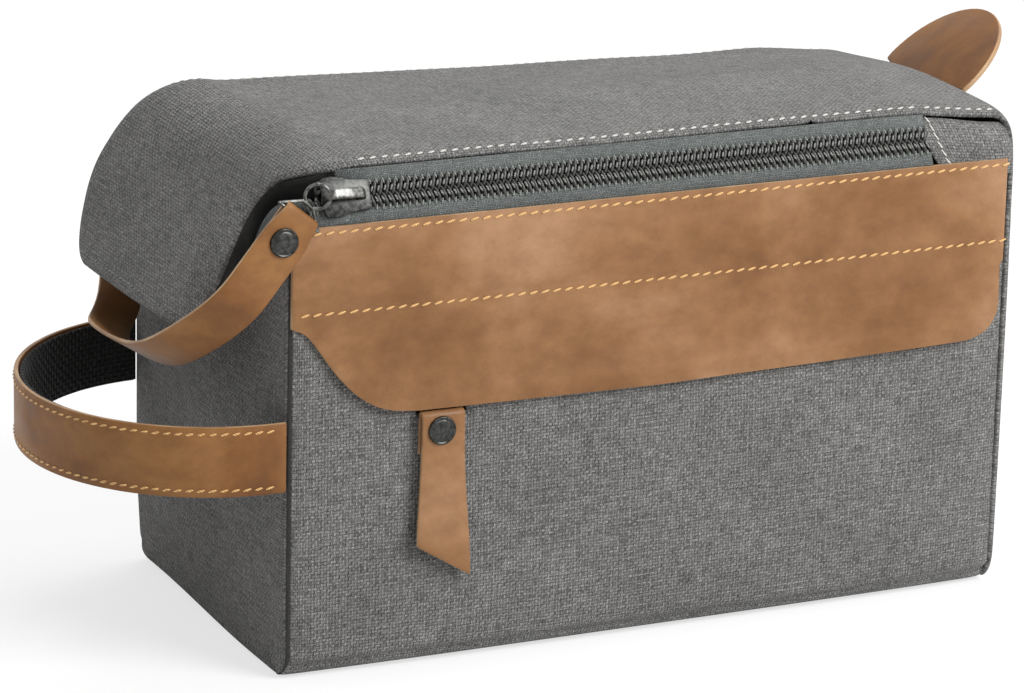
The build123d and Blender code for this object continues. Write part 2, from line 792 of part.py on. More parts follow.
with BuildPart() as pocket_pull:
    pull_left = pull_pivot - Vector(pocket_pull_width / 2 + 2, 0, 0)
    pull_side = Plane(origin=pull_left, x_dir=(0, 1, 0), z_dir=(1, 0, 0))
    with BuildSketch(pull_side):
        Circle(fold_radius)
        with Locations((-fold_radius + strap_leather / 2, -pocket_pull_length / 2)):
            Rectangle(strap_leather, pocket_pull_length)
        with Locations((fold_radius / 2, -pocket_pull_lap / 2)):
            Rectangle(fold_radius, pocket_pull_lap)
        with Locations((-fold_radius / 2, -pocket_pull_lap / 2)):
            Rectangle(fold_radius, pocket_pull_lap)
        Circle(wire_radius + sewn_gap, mode=Mode.SUBTRACT)
    extrude(amount=pocket_pull_width + 6)
    with BuildSketch(Plane(origin=pull_pivot, x_dir=(1, 0, 0), z_dir=(0, -1, 0)).offset(-5)):
        with BuildLine():
            half = pocket_pull_width / 2
            Polyline(
                (-half, fold_radius + 1),
                (half, fold_radius + 1),
                (half + 2.6, -pocket_pull_length),
                (-half - 1.2, -pocket_pull_length + 12),
                close=True,
            )
        make_face()
    extrude(amount=10, mode=Mode.INTERSECT)
keep(pocket_pull.part, "pocket_pull")

with BuildPart() as pocket_rivet:
    rivet_spot = pull_pivot - Vector(0, 0, pocket_rivet_drop)
    pull_front = Plane(origin=rivet_spot, x_dir=(1, 0, 0), z_dir=(0, -1, 0))
    with BuildSketch(pull_front.offset(fold_radius)):
        Circle(rivet_radius)
    extrude(amount=rivet_cap)
    fillet(pocket_rivet.edges().group_by(Axis.Y)[0], 0.7)
keep(pocket_rivet.part, "pocket_rivet")

# Tab on the right end: a rounded tongue whose root edge is round about its fold line.
tab_root = Vector(half_length + tab_thickness / 2 + 0.3, 0, hem_height - end_droop - 1.5)
tab_along = Vector(sin(radians(tab_lean)), 0, cos(radians(tab_lean)))
tab_plane = Plane(origin=tab_root, x_dir=(0, 1, 0), z_dir=tab_along.cross(Vector(0, 1, 0)) * -1)
with BuildPart() as end_tab:
    with BuildSketch(tab_plane.offset(-tab_thickness / 2)):
        with BuildLine():
            root = Line((-tab_half_width, 0), (tab_half_width, 0))
            left = Line(root @ 0, (-tab_half_width, tab_straight))
            right = Line(root @ 1, (tab_half_width, tab_straight))
            EllipticalCenterArc(
                (0, tab_straight), tab_half_width, tab_length - tab_straight, 0, arc_size=180
            )
        make_face()
    extrude(amount=tab_thickness)
    with BuildSketch(Plane(origin=tab_root - Vector(0, tab_half_width, 0), z_dir=(0, 1, 0))):
        Circle(tab_thickness / 2)
    extrude(amount=2 * tab_half_width)
keep(end_tab.part, "end_tab")
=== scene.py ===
# %% [markdown]
# # A canvas toiletry bag with leather trim
# The bag is a soft box of heavy grey canvas. Its lid lies between two long zips and ends in a flap
# that curls down over the left end. A leather band, a leather flap and leather pulls dress it.
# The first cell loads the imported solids, which fix every place and size.

# %% Load the frame
import math
import bpy
import bmesh
from mathutils import Matrix, Vector, noise
from mathutils.bvhtree import BVHTree


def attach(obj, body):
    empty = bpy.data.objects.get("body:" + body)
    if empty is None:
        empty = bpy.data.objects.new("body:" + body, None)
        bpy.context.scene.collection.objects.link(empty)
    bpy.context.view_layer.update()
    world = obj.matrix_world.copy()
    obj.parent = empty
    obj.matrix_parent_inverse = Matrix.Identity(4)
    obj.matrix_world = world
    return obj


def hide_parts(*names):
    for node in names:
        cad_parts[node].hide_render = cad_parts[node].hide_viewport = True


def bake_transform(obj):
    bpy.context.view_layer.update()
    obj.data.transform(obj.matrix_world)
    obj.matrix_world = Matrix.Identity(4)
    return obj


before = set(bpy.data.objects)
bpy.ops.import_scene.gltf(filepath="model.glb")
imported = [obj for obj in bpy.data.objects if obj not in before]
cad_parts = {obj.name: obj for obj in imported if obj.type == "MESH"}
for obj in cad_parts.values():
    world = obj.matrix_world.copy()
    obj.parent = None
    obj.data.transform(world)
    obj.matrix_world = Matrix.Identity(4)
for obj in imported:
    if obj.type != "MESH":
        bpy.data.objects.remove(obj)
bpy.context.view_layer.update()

# %% [markdown]
# ## Main sizes
# Every piece is placed from a few real sizes, in metres. X runs right along the front, Y runs to
# the back and Z is up. Reading the sizes once keeps the cloth, the seams and the hardware together.

# %% Sizes
mm = 0.001
half_length, half_depth = 135 * mm, 69 * mm
front_top, hem_z, crown_z = 155 * mm, 170.5 * mm, 176.2 * mm
hem_y, base_radius = 62 * mm, 9 * mm
curl_x, curl_radius, curl_lean = -108 * mm, 34 * mm, 35
lid_split = 60 * mm
band_low = 123.8 * mm
ways = (("front", -1), ("rear", 1))

# %% [markdown]
# ## Camera
# The lens is long, so the box shows little perspective. The camera stands in front of the left
# corner, a little above the lid, as the outlines of the bag's edges say.

# %% Camera
yaw, pitch, roll = math.radians(-25.91), math.radians(16.39), math.radians(1.29)
right = Vector((math.cos(yaw), math.sin(yaw), 0))
level = Vector((-math.sin(yaw), math.cos(yaw), 0))
ahead = level * math.cos(pitch) - Vector((0, 0, math.sin(pitch)))
above = right.cross(ahead)
side = right * math.cos(roll) + above * math.sin(roll)
top = above * math.cos(roll) - right * math.sin(roll)
aim = Vector((0, 0, 86.6 * mm)) - side * 18.85 * mm - top * 3.87 * mm
eye = aim - ahead * 1698.6 * mm
camera_data = bpy.data.cameras.new("camera")
camera_data.sensor_width, camera_data.lens = 36, 171.05
camera = bpy.data.objects.new("camera", camera_data)
camera.matrix_world = Matrix.Translation(eye) @ Matrix((side, top, -ahead)).transposed().to_4x4()
bpy.context.scene.collection.objects.link(camera)
bpy.context.scene.camera = camera
print("camera at", [round(v, 3) for v in eye])

# %% [markdown]
# ## Tools for finishes
# A finish is a small node tree. One helper makes a node and sets its inputs, another starts a
# material and hands back its shader, and the rest name the textures that every finish uses.


# %% Material helpers
def put(tree, made, place, value):
    """Set an input of a node, or link it where the value comes from another node."""
    if isinstance(value, bpy.types.NodeSocket):
        tree.links.new(value, made.inputs[place])
    else:
        made.inputs[place].default_value = value


def node(tree, kind, inputs=None, **settings):
    made = tree.nodes.new(kind)
    for key, value in settings.items():
        setattr(made, key, value)
    for place, value in (inputs or {}).items():
        put(tree, made, place, value)
    return made


def start_finish(name, **shader_values):
    finish = bpy.data.materials.new(name)
    finish.use_nodes = True
    shader = finish.node_tree.nodes["Principled BSDF"]
    for key, value in shader_values.items():
        shader.inputs[key.replace("_", " ")].default_value = value
    return finish, finish.node_tree, shader


def grey(value):
    return (value, value, value)


def ramp(tree, factor, *stops):
    made = node(tree, "ShaderNodeValToRGB", {"Fac": factor})
    while len(made.color_ramp.elements) < len(stops):
        made.color_ramp.elements.new(1)
    for element, (place, colour) in zip(made.color_ramp.elements, stops):
        element.position, element.color = place, (*colour, 1)
    return made.outputs["Color"]


def blend_colour(tree, factor, first, second, way="MIX"):
    inputs = {0: factor, 6: first, 7: second}
    return node(tree, "ShaderNodeMix", inputs, data_type="RGBA", blend_type=way).outputs[2]


def object_place(tree):
    return node(tree, "ShaderNodeTexCoord").outputs["Object"]


def stretched(tree, place, scale):
    return node(tree, "ShaderNodeMapping", {"Vector": place, "Scale": scale}).outputs["Vector"]


def noise_at(tree, place, scale, detail, roughness, distortion=0.0):
    inputs = {"Vector": place, "Scale": scale, "Detail": detail, "Roughness": roughness}
    return node(tree, "ShaderNodeTexNoise", {**inputs, "Distortion": distortion}).outputs["Fac"]


def wave_at(tree, place, period, direction, **more):
    """Bands of light and dark, one to each period in metres."""
    inputs = {"Vector": place, "Scale": 0.31416 / period, **more}
    return node(tree, "ShaderNodeTexWave", inputs, bands_direction=direction)


def bump(tree, height, distance, strength, **more):
    inputs = {"Height": height, "Distance": distance, "Strength": strength, **more}
    return node(tree, "ShaderNodeBump", inputs).outputs["Normal"]


# %% [markdown]
# ## Woven cloth
# Real canvas is two sets of threads that pass over and under each other. Two wave patterns, one
# along each direction, are swapped by a chequer, which gives the over and under. Noise then makes
# single threads lighter or darker, as in yarn spun from mixed fibres. The low places of the weave
# are darkened as painted shade between the threads. The pattern reads a map laid on each piece in
# metres, so the threads have one size all over the bag.


# %% Cloth finish
def cloth_finish(name, shade, period, contrast, relief, sheen, tint=(1, 0.985, 0.955)):
    surface = {"Sheen_Weight": sheen, "Sheen_Roughness": 0.5, "Specular_IOR_Level": 0.2}
    finish, tree, shader = start_finish(name, **surface)
    weave = node(tree, "ShaderNodeUVMap", uv_map="weave").outputs["UV"]
    loose = {"Distortion": 2.2, "Detail": 2.0, "Detail Scale": 0.6}
    warp = wave_at(tree, weave, period, "X", **loose).outputs["Color"]
    weft = wave_at(tree, weave, period, "Y", **loose).outputs["Color"]
    chequer = node(tree, "ShaderNodeTexChecker", {"Vector": weave, "Scale": 1 / period}).outputs["Fac"]
    height = blend_colour(tree, chequer, warp, weft)
    weft_yarn = noise_at(tree, stretched(tree, weave, (0.16, 1, 1)), 0.9 / period, 2.0, 0.7)
    warp_yarn = noise_at(tree, stretched(tree, weave, (1, 0.16, 1)), 0.9 / period, 2.0, 0.7)
    speck = noise_at(tree, weave, 1.1 / period, 3.0, 0.8)
    worn = noise_at(tree, weave, 26.0, 4.0, 0.6)
    parts = (1 - contrast, 1, 1 + contrast)
    shades = [[shade * part * channel for channel in tint] for part in parts]
    stops = list(zip((0.36, 0.5, 0.66), shades))
    colour = blend_colour(tree, chequer, ramp(tree, warp_yarn, *stops), ramp(tree, weft_yarn, *stops))
    dots = ramp(tree, speck, (0.3, grey(0.55)), (0.5, grey(0.98)), (0.68, grey(1.5)))
    colour = blend_colour(tree, 1.0, colour, dots, "MULTIPLY")
    # Painted shade: the low places of the weave are darkened, as the shade between the threads.
    depth = ramp(tree, height, (0.1, grey(0.5)), (0.75, grey(1.12)))
    colour = blend_colour(tree, 0.8, colour, depth, "MULTIPLY")
    fade = ramp(tree, worn, (0.35, grey(0.9)), (0.65, grey(1.12)))
    put(tree, shader, "Base Color", blend_colour(tree, 1.0, colour, fade, "MULTIPLY"))
    put(tree, shader, "Normal", bump(tree, height, relief, 0.9))
    put(tree, shader, "Roughness", ramp(tree, speck, (0.3, grey(0.86)), (0.7, grey(0.97))))
    return finish


canvas = cloth_finish("grey_canvas", 0.163, 1.08 * mm, 0.46, 0.33 * mm, 0.12)
lining = cloth_finish("dark_lining", 0.045, 0.5 * mm, 0.2, 0.1 * mm, 0.05)
tape = cloth_finish("zip_tape_cloth", 0.14, 0.6 * mm, 0.35, 0.15 * mm, 0.05, (0.92, 1, 0.97))
webbing = cloth_finish("black_webbing", 0.012, 1.7 * mm, 0.5, 0.5 * mm, 0.1)
print("cloth finishes:", canvas.name, lining.name, tape.name, webbing.name)

# %% [markdown]
# ## Oiled leather
# The tan hide is waxed, so bending and rubbing leave pale clouds on a darker brown. Large noise
# makes the clouds, finer noise makes the pores and the small creases, and the wax gives a soft
# shine that is broken where the clouds are.


# %% Leather finish
def leather_finish(name, dark, middle, pale, cloud_scale):
    surface = {"Coat_Weight": 0.06, "Coat_Roughness": 0.4, "Specular_IOR_Level": 0.28}
    finish, tree, shader = start_finish(name, **surface)
    place = object_place(tree)
    clouds = noise_at(tree, place, cloud_scale, 5.0, 0.55, 0.4)
    marks = noise_at(tree, stretched(tree, place, (1, 1, 1.5)), 95.0, 6.0, 0.65)
    cells = {"Vector": place, "Scale": 1500.0, "Randomness": 1.0}
    pores = node(tree, "ShaderNodeTexVoronoi", cells, feature="F1").outputs["Distance"]
    colour = ramp(tree, clouds, (0.34, dark), (0.5, middle), (0.66, pale))
    mottle = ramp(tree, marks, (0.35, (0.86, 0.83, 0.8)), (0.65, (1.1, 1.12, 1.15)))
    colour = blend_colour(tree, 1.0, colour, mottle, "MULTIPLY")
    pits = ramp(tree, pores, (0.0, grey(0.8)), (0.35, grey(1.0)))
    put(tree, shader, "Base Color", blend_colour(tree, 0.5, colour, pits, "MULTIPLY"))
    put(tree, shader, "Roughness", ramp(tree, marks, (0.35, grey(0.4)), (0.65, grey(0.56))))
    grain = bump(tree, pores, 0.05 * mm, 0.5)
    put(tree, shader, "Normal", bump(tree, marks, 0.35 * mm, 0.6, Normal=grain))
    return finish


hide_shades = (0.155, 0.064, 0.017), (0.235, 0.112, 0.042), (0.33, 0.18, 0.092)
strap_shades = (0.13, 0.048, 0.01), (0.2, 0.082, 0.02), (0.27, 0.125, 0.038)
edge_shades = (0.26, 0.15, 0.075), (0.36, 0.22, 0.115), (0.45, 0.3, 0.17)
leather = leather_finish("tan_leather", *hide_shades, 13.0)
strap_leather = leather_finish("tan_strap_leather", *strap_shades, 26.0)
raw_edge = leather_finish("raw_leather_edge", *edge_shades, 60.0)
print("leather finishes:", leather.name, strap_leather.name, raw_edge.name)

# %% [markdown]
# ## Metal, nylon and thread
# The hardware is dark nickel that is worn bright in spots, the coil is nylon with a low sheen, and
# the threads are twisted, so a fine slanted band runs across each stitch.


# %% Hard finishes
def metal_finish(name, dark, bright):
    finish, tree, shader = start_finish(name, Metallic=1.0)
    wear = noise_at(tree, object_place(tree), 700.0, 5.0, 0.6)
    put(tree, shader, "Base Color", ramp(tree, wear, (0.4, dark), (0.66, bright)))
    put(tree, shader, "Roughness", ramp(tree, wear, (0.35, grey(0.26)), (0.7, grey(0.42))))
    put(tree, shader, "Normal", bump(tree, wear, 0.04 * mm, 0.4))
    return finish


def thread_finish(name, dark, pale, roughness, twist):
    finish, tree, shader = start_finish(name, Roughness=roughness, Sheen_Weight=0.15)
    strands = wave_at(tree, object_place(tree), twist, "DIAGONAL", Distortion=0.6).outputs["Fac"]
    put(tree, shader, "Base Color", ramp(tree, strands, (0.15, dark), (0.7, pale)))
    put(tree, shader, "Normal", bump(tree, strands, 0.08 * mm, 0.6))
    return finish


metal = metal_finish("dark_nickel", (0.03, 0.031, 0.029), (0.075, 0.075, 0.072))
worn_metal = metal_finish("worn_nickel", (0.07, 0.07, 0.067), (0.2, 0.2, 0.19))
orange_thread = thread_finish("orange_thread", (0.4, 0.19, 0.05), (0.8, 0.5, 0.2), 0.6, 0.45 * mm)
pale_thread = thread_finish("pale_thread", (0.3, 0.29, 0.27), (0.7, 0.68, 0.64), 0.7, 0.45 * mm)
coil_nylon = thread_finish("coil_nylon", (0.022, 0.024, 0.02), (0.05, 0.052, 0.046), 0.33, 1.2 * mm)
# Pale coil thread: real sewing thread, and on the coil its pale bumps are also painted highlights.
coil_thread_and_highlight = thread_finish("coil_thread_and_highlight", (0.08, 0.084, 0.076), (0.25, 0.26, 0.235), 0.55, 0.5 * mm)
print("hard finishes:", metal.name, orange_thread.name, pale_thread.name, coil_nylon.name)

# %% [markdown]
# ## Helpers for pieces
# A piece starts as a bmesh and becomes an object that rides on one body of the frame. The cloth
# map is laid from the direction each face looks in, or from a distance kept on the vertices where
# the cloth bends.


# %% Piece helpers
def lay_weave(bm):
    """Lay the cloth map in metres."""
    weave = bm.loops.layers.uv.new("weave")
    along = bm.verts.layers.float.get("along")
    across = bm.verts.layers.float.get("across")
    bm.normal_update()
    for face in bm.faces:
        axis = max(range(3), key=lambda i: abs(face.normal[i]))
        first, second = ((1, 2), (0, 2), (0, 1))[axis]
        for loop in face.loops:
            if along:
                loop[weave].uv = (loop.vert[along], loop.vert[across])
            else:
                loop[weave].uv = (loop.vert.co[first], loop.vert.co[second])


def piece(bm, name, body, finish, slot, stands_for=()):
    """Make the object; a piece with no body is not attached to one."""
    lay_weave(bm)
    mesh = bpy.data.meshes.new(name)
    bm.to_mesh(mesh)
    bm.free()
    mesh.shade_smooth()
    mesh.materials.append(finish)
    made = bpy.data.objects.new(name, mesh)
    bpy.context.scene.collection.objects.link(made)
    if body:
        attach(made, body)
    if stands_for:
        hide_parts(*stands_for)
    return made


def thicken(made, thickness, offset=-1.0, edge=None):
    wall = made.modifiers.new("thickness", "SOLIDIFY")
    wall.thickness, wall.offset, wall.use_even_offset = thickness, offset, True
    if edge:
        made.data.materials.append(edge)
        wall.material_offset_rim = 1


def round_edges(made, width):
    edge = made.modifiers.new("edges", "BEVEL")
    edge.width, edge.segments, edge.limit_method = width, 2, "ANGLE"
    edge.angle_limit = math.radians(40)


def soften(made):
    smooth = made.modifiers.new("soft", "SUBSURF")
    smooth.levels = smooth.render_levels = 2


def surface_of(made):
    bpy.context.view_layer.update()
    return BVHTree.FromObject(made, bpy.context.evaluated_depsgraph_get())


# %% [markdown]
# ## Helpers for meshes and places
# A few short functions do the steady work: a box, slices, bevels, sheets pulled through rows of
# points, and small shapes stamped many times. Two more read a smooth step and a short table.


# %% Mesh helpers
def box(centre, size):
    bm = bmesh.new()
    place = Matrix.Translation(centre) @ Matrix.Diagonal((*size, 1))
    bmesh.ops.create_cube(bm, size=1, matrix=place)
    return bm


def drop_faces(bm, test):
    """Take away the faces whose middle passes the test."""
    gone = [face for face in bm.faces if test(face.calc_center_median())]
    bmesh.ops.delete(bm, geom=gone, context="FACES")


def cut(bm, axis, places):
    """Slice the mesh at each place along an axis."""
    normal = Vector([1 if index == axis else 0 for index in range(3)])
    for place in places:
        everything = bm.verts[:] + bm.edges[:] + bm.faces[:]
        bmesh.ops.bisect_plane(bm, geom=everything, plane_co=normal * place, plane_no=normal)


def bevel_where(bm, test, offset, segments):
    edges = [edge for edge in bm.edges if all(test(vert.co) for vert in edge.verts)]
    looks = {"profile": 0.5, "affect": "EDGES", "material": -1}
    bmesh.ops.bevel(bm, geom=edges, offset=offset, segments=segments, **looks)


def join(bm, other):
    """Add one bmesh to another."""
    spare = bpy.data.meshes.new("spare")
    other.to_mesh(spare)
    bm.from_mesh(spare)
    other.free()


def axes(first, second, third):
    return Matrix((first, second, third)).transposed().to_4x4()


def ball(u_segments, v_segments, turn=Matrix.Identity(4)):
    """A small round mesh, kept to be stamped."""
    seed = bmesh.new()
    counts = {"u_segments": u_segments, "v_segments": v_segments}
    bmesh.ops.create_uvsphere(seed, radius=1, matrix=turn, **counts)
    shape = bpy.data.meshes.new("ball")
    seed.to_mesh(shape)
    seed.free()
    return shape


def stamp(bm, shape, matrix):
    """Add a copy of a small mesh, placed by a matrix."""
    shape.transform(matrix)
    bm.from_mesh(shape)
    shape.transform(matrix.inverted())


def loft(rows):
    """A sheet pulled row by row through rows of points, with the cloth map kept as it goes."""
    bm = bmesh.new()
    along = bm.verts.layers.float.new("along")
    across = bm.verts.layers.float.new("across")
    last = [bm.verts.new(point) for point in rows[0]]
    for first, second in zip(last, last[1:]):
        bm.edges.new((first, second))
    middle, reach = len(rows[0]) // 2, 0.0
    for index, row in enumerate(rows):
        if index:
            reach += (Vector(row[middle]) - Vector(rows[index - 1][middle])).length
            edges = [bm.edges.get(pair) for pair in zip(last, last[1:])]
            grown = bmesh.ops.extrude_edge_only(bm, edges=edges)["geom"]
            new = {g for g in grown if isinstance(g, bmesh.types.BMVert)}
            last = [next(e.other_vert(v) for e in v.link_edges if e.other_vert(v) in new) for v in last]
        width = 0.0
        for place, vert in enumerate(last):
            vert.co = row[place]
            width += (Vector(row[place]) - Vector(row[place - 1])).length if place else 0.0
            vert[along], vert[across] = reach, width
        for vert in last:
            vert[across] -= width / 2
    bmesh.ops.recalc_face_normals(bm, faces=bm.faces[:])
    return bm


def ribbon(path, crosswise, width, rows=2):
    """A strip along a path; crosswise and width may change from its start to its end."""
    lines = []
    for index, point in enumerate(path):
        part = index / (len(path) - 1)
        way = Vector(crosswise(part) if callable(crosswise) else crosswise)
        size = width(part) if callable(width) else width
        lines.append([Vector(point) + way * size * (place / rows - 0.5) for place in range(rows + 1)])
    return loft(lines)


def turn_outward(bm, way):
    """Make the sheet's faces look along a direction on the whole."""
    if sum(face.normal.dot(way) * face.calc_area() for face in bm.faces) < 0:
        bmesh.ops.reverse_faces(bm, faces=bm.faces[:])
    return bm


# %% Place helpers
def steps(first, last, size):
    """Even places from first to last, about a size apart."""
    count = max(1, round(abs(last - first) / size))
    return [first + (last - first) * k / count for k in range(count + 1)]


def ease(value, low, high):
    """A smooth step from 0 at low to 1 at high."""
    t = min(1, max(0, (value - low) / (high - low)))
    return t * t * (3 - 2 * t)


def follow(value, *points):
    """A reading from a short table of places and sizes."""
    for (low, first), (high, second) in zip(points, points[1:]):
        if value <= high:
            return first + (second - first) * max(0, value - low) / (high - low)
    return points[-1][1]


# %% [markdown]
# ## Body of the bag
# The body is one soft shell: bottom, two long walls and the low left end. It starts as a box whose
# long lower edges are rounded and whose seams are tight, and it is sliced so that the cloth can
# sag. A smooth push then bulges the walls, and slow noise leaves the soft dents of heavy canvas.


# %% Shape of the walls
def sag(point):
    """How far the cloth of the walls stands off the flat panels."""
    x, y, z = point
    rise = math.sin(math.pi * min(1, max(0, z / front_top)))
    low = follow(z, (0, 0.75), (25 * mm, 1), (75 * mm, 0.8), (front_top, 0))
    span = 1 - min(1, abs(x) / half_length) ** 4
    width = math.cos(math.pi * min(1, abs(y) / half_depth) / 2)
    soft = noise.noise(Vector((x, y * 0.6, z)) * 22) * 0.9 * mm
    push = Vector((0, 0, 0))
    if abs(y) > 60 * mm:
        swell = 3.4 * mm * low * span + soft * rise * span
        push.y = math.copysign(1, y) * swell * ease(abs(y), 60 * mm, 68 * mm)
    if abs(x) > 120 * mm:
        swell = 2.9 * mm * rise * width + soft * width
        push.x = math.copysign(1, x) * swell * ease(abs(x), 120 * mm, 134 * mm)
    return push


def corner_lift(point):
    """The lower rear corner of the left end is pulled in and up a little."""
    rear = ease(point.y, -40 * mm, 55 * mm)
    inward = ease(-point.x, 125 * mm, 134 * mm) * (1 - ease(point.z, 4 * mm, 34 * mm))
    upward = ease(-point.x, 112 * mm, 136 * mm) ** 2 * (1 - ease(point.z, 0, 45 * mm))
    return Vector((1.5 * mm * rear * inward, 0, 2 * mm * rear * upward))


def notch(y):
    """Height of the left end's top edge."""
    return 122 * mm + 33 * mm * ease(abs(y), 44 * mm, 68 * mm)


def in_pocket_slot(middle):
    """The way into the front pocket, under the leather flap."""
    return middle.y < -68 * mm and abs(middle.x) < 100 * mm and 99 * mm < middle.z < 109 * mm


def settle(point):
    """Draw the seams in, let the cloth sag, and lower the left end's edge."""
    if abs(point.y) > 66.5 * mm and -134.9 * mm < point.x < -134 * mm:
        point += Vector((1.7 * mm, -math.copysign(1.5 * mm, point.y), 0))
    if abs(point.y) > 60 * mm and 3.2 * mm < point.z < 5.6 * mm:
        point += Vector((0, -math.copysign(1.2 * mm, point.y), 1.0 * mm))
    point += sag(point)
    point += corner_lift(point)
    if point.x < -133 * mm and point.z > 80 * mm:
        share = (notch(point.y) - 80 * mm) / (front_top - 80 * mm)
        point.z = 80 * mm + (point.z - 80 * mm) * share


# %% Body shell
shell = box((0, 0, front_top / 2), (2 * half_length, 2 * half_depth, front_top))
bevel_where(shell, lambda p: p.z < mm and p.y < 0, base_radius, 6)
bevel_where(shell, lambda p: p.z < mm and p.y > 68 * mm, base_radius, 6)
bevel_where(shell, lambda p: p.x < -134 * mm, 1.6 * mm, 2)
drop_faces(shell, lambda p: p.z > 154 * mm or p.x > 134.5 * mm)
cut(shell, 0, steps(-125 * mm, 125 * mm, 12.5 * mm))
cut(shell, 1, steps(-57 * mm, 57 * mm, 11.4 * mm))
cut(shell, 2, [z * mm for z in (20, 31, 42, 54, 66, 78, 89, 99, 109, 120, 132, 144, 151)])
drop_faces(shell, in_pocket_slot)
for vert in shell.verts:
    settle(vert.co)
bmesh.ops.recalc_face_normals(shell, faces=shell.faces[:])
shell_nodes = ("front_panel", "back_panel", "bottom_panel", "left_end_panel")
bag_shell = piece(shell, "bag_shell", "bag", canvas, "canvas_grey", shell_nodes)
thicken(bag_shell, 1.8 * mm)
soften(bag_shell)
walls = surface_of(bag_shell)
print("shell faces:", len(bag_shell.data.polygons))

# %% [markdown]
# ## Corner seam
# The seam between the front and the left end is a gap in shade, seen as a dark line that rounds
# the lower corner. A strip one millimetre wide of the dark lining is laid on the shell along it,
# point by point, as painted shade.


# %% Corner seam
def on_walls(x, y, z):
    found, normal = walls.find_nearest(Vector((x, y, z)))[:2]
    return found + normal * 0.12 * mm


seam_line = [(68.6 * mm, z) for z in steps(146 * mm, 10 * mm, 6 * mm)]
for turn in steps(0, 1.4, 0.2)[1:]:
    across_corner, down_corner = base_radius * math.cos(turn), base_radius * math.sin(turn)
    seam_line.append((59.6 * mm + across_corner, 9.6 * mm - down_corner))
seam_rows = []
for y, z in seam_line:
    seam_rows.append([on_walls(-134.6 * mm + shift, -y, z) for shift in (-0.5 * mm, 0, 0.5 * mm)])
# The strip takes the dark lining finish as painted shade in the gap of the seam.
seam_shade_strip = turn_outward(loft(seam_rows), Vector((-1, -1, 0)))
corner_seam_shade = piece(seam_shade_strip, "corner_seam_shade", "bag", lining, "lining_dark")
thicken(corner_seam_shade, 0.2 * mm, 0.0)
corner_seam_shade.modifiers["thickness"].use_even_offset = False
print("seam points:", len(seam_line))

# %% [markdown]
# ## Lid and end flap
# The lid is one long piece of canvas that goes on past the zips and curls down over the left end.
# A function says where any point of that cloth lies: flat and slightly hollow over the bag, round
# the curl, and then straight down the lean, drawn in at its front and full at its rear. Lofting
# rows of such points gives the sheet.

# %% Shape of the lid
half_section = [(61.8, 171.9), (60.9, 173.1), (58.5, 174.2), (55, 174.8), (51, 175.2)]
half_section += [(38, 175.7), (26, 175.95), (13, 176.15), (0, 176.2)]
section = [(-y * mm, z * mm) for y, z in half_section]
section += [(y * mm, z * mm) for y, z in reversed(half_section[:-1])]
curl_centre = Vector((curl_x, 0, crown_z - curl_radius))
curl_turn = math.radians(90 - curl_lean)
lean = Vector((-math.sin(math.radians(curl_lean)), 0, -math.cos(math.radians(curl_lean))))
curl_length, drop = curl_radius * curl_turn, 52 * mm
flap_corner = 14 * mm
rear_sink = ((-112, 0), (-60, 1.9), (-10, 3.4), (40, 4.6), (80, 5.2), (112, 4.8), (140, 4.4))
front_edge = ((0, 62), (12, 60.5), (20, 54), (26, 46), (36, 41), (46, 42), (62, 47.5), (80, 50))
rear_edge = ((0, 62), (20, 62.5), (38, 64.5), (52, 64), (62, 61), (74, 56), (85, 52))


def droop(x, y):
    """How much lower the lid lies towards the right end and along its rear half."""
    rear = follow(x / mm, *rear_sink) * mm
    return 3.6 * mm * ease(x, 96 * mm, 137 * mm) + rear * ease(y, -15 * mm, 55 * mm)


def lid_point(x, y, z):
    hollow = 0.6 * mm * math.cos(math.pi * x / (2 * half_length)) * (1 - (y / hem_y) ** 2)
    dents = noise.noise(Vector((x, y, z)) * 26) * 0.7 * mm
    return Vector((x, y, z - droop(x, y) - hollow + dents))


def flap_half(past, way):
    """Half the width of the flap's cloth, front or rear, from the curl's start to its lower edge."""
    half = follow(past / mm, *(front_edge if way < 0 else rear_edge)) * mm
    left = curl_length + drop - past
    if left > flap_corner:
        return half
    return half - flap_corner + math.sqrt(max(0, flap_corner ** 2 - (flap_corner - left) ** 2))


def flap_point(past, share, z):
    """A point of the flap: how far past the lid, which share of its half width, and its section."""
    turn = min(past / curl_radius, curl_turn)
    normal = Vector((-math.sin(turn), 0, math.cos(turn)))
    spot = curl_centre + normal * (curl_radius + (z - crown_z) * (1 - ease(past, 5 * mm, 40 * mm)))
    spot += lean * max(0, past - curl_length)
    spot.y = share * flap_half(past, share)
    spot -= normal * 2.6 * mm * share ** 2 * ease(past, 15 * mm, 45 * mm)
    fullness = math.sin(math.pi * min(1, past / (88 * mm)))
    spot += normal * 6.5 * mm * ease(share, -0.1, 0.95) * fullness
    return spot + normal * noise.noise(spot * 30) * 1.2 * mm * ease(past, 5 * mm, 40 * mm)


# %% Lid cloth
def double(bm):
    """Give the lid cloth its thickness, and keep the edge at the middle of the lid sharp."""
    bmesh.ops.solidify(bm, geom=bm.faces[:], thickness=1.9 * mm)
    crease = bm.edges.layers.float.new("crease_edge")
    for edge in bm.edges:
        if all(abs(vert.co.x - lid_split) < 0.01 * mm for vert in edge.verts):
            edge[crease], edge.smooth = 1.0, False
    return bm


rows = [[lid_point(x, y, z) for y, z in section] for x in steps(lid_split, curl_x, 11 * mm)]
places = steps(0, curl_length, 3.6 * mm)[1:]
places += [curl_length + fall for fall in steps(0, drop, 6 * mm)[1:-1] + [49 * mm, 51 * mm, drop]]
for past in places:
    rows.append([flap_point(past, y / hem_y, z) for y, z in section])
cloth = double(turn_outward(loft(rows), Vector((-0.5, 0, 1))))
lid_cover = piece(cloth, "lid_cover", None, canvas, "canvas_grey", ("lid_panel", "end_flap_panel"))
soften(lid_cover)
lid_surface = surface_of(lid_cover)
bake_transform(lid_cover)
print("lid faces:", len(lid_cover.data.polygons))
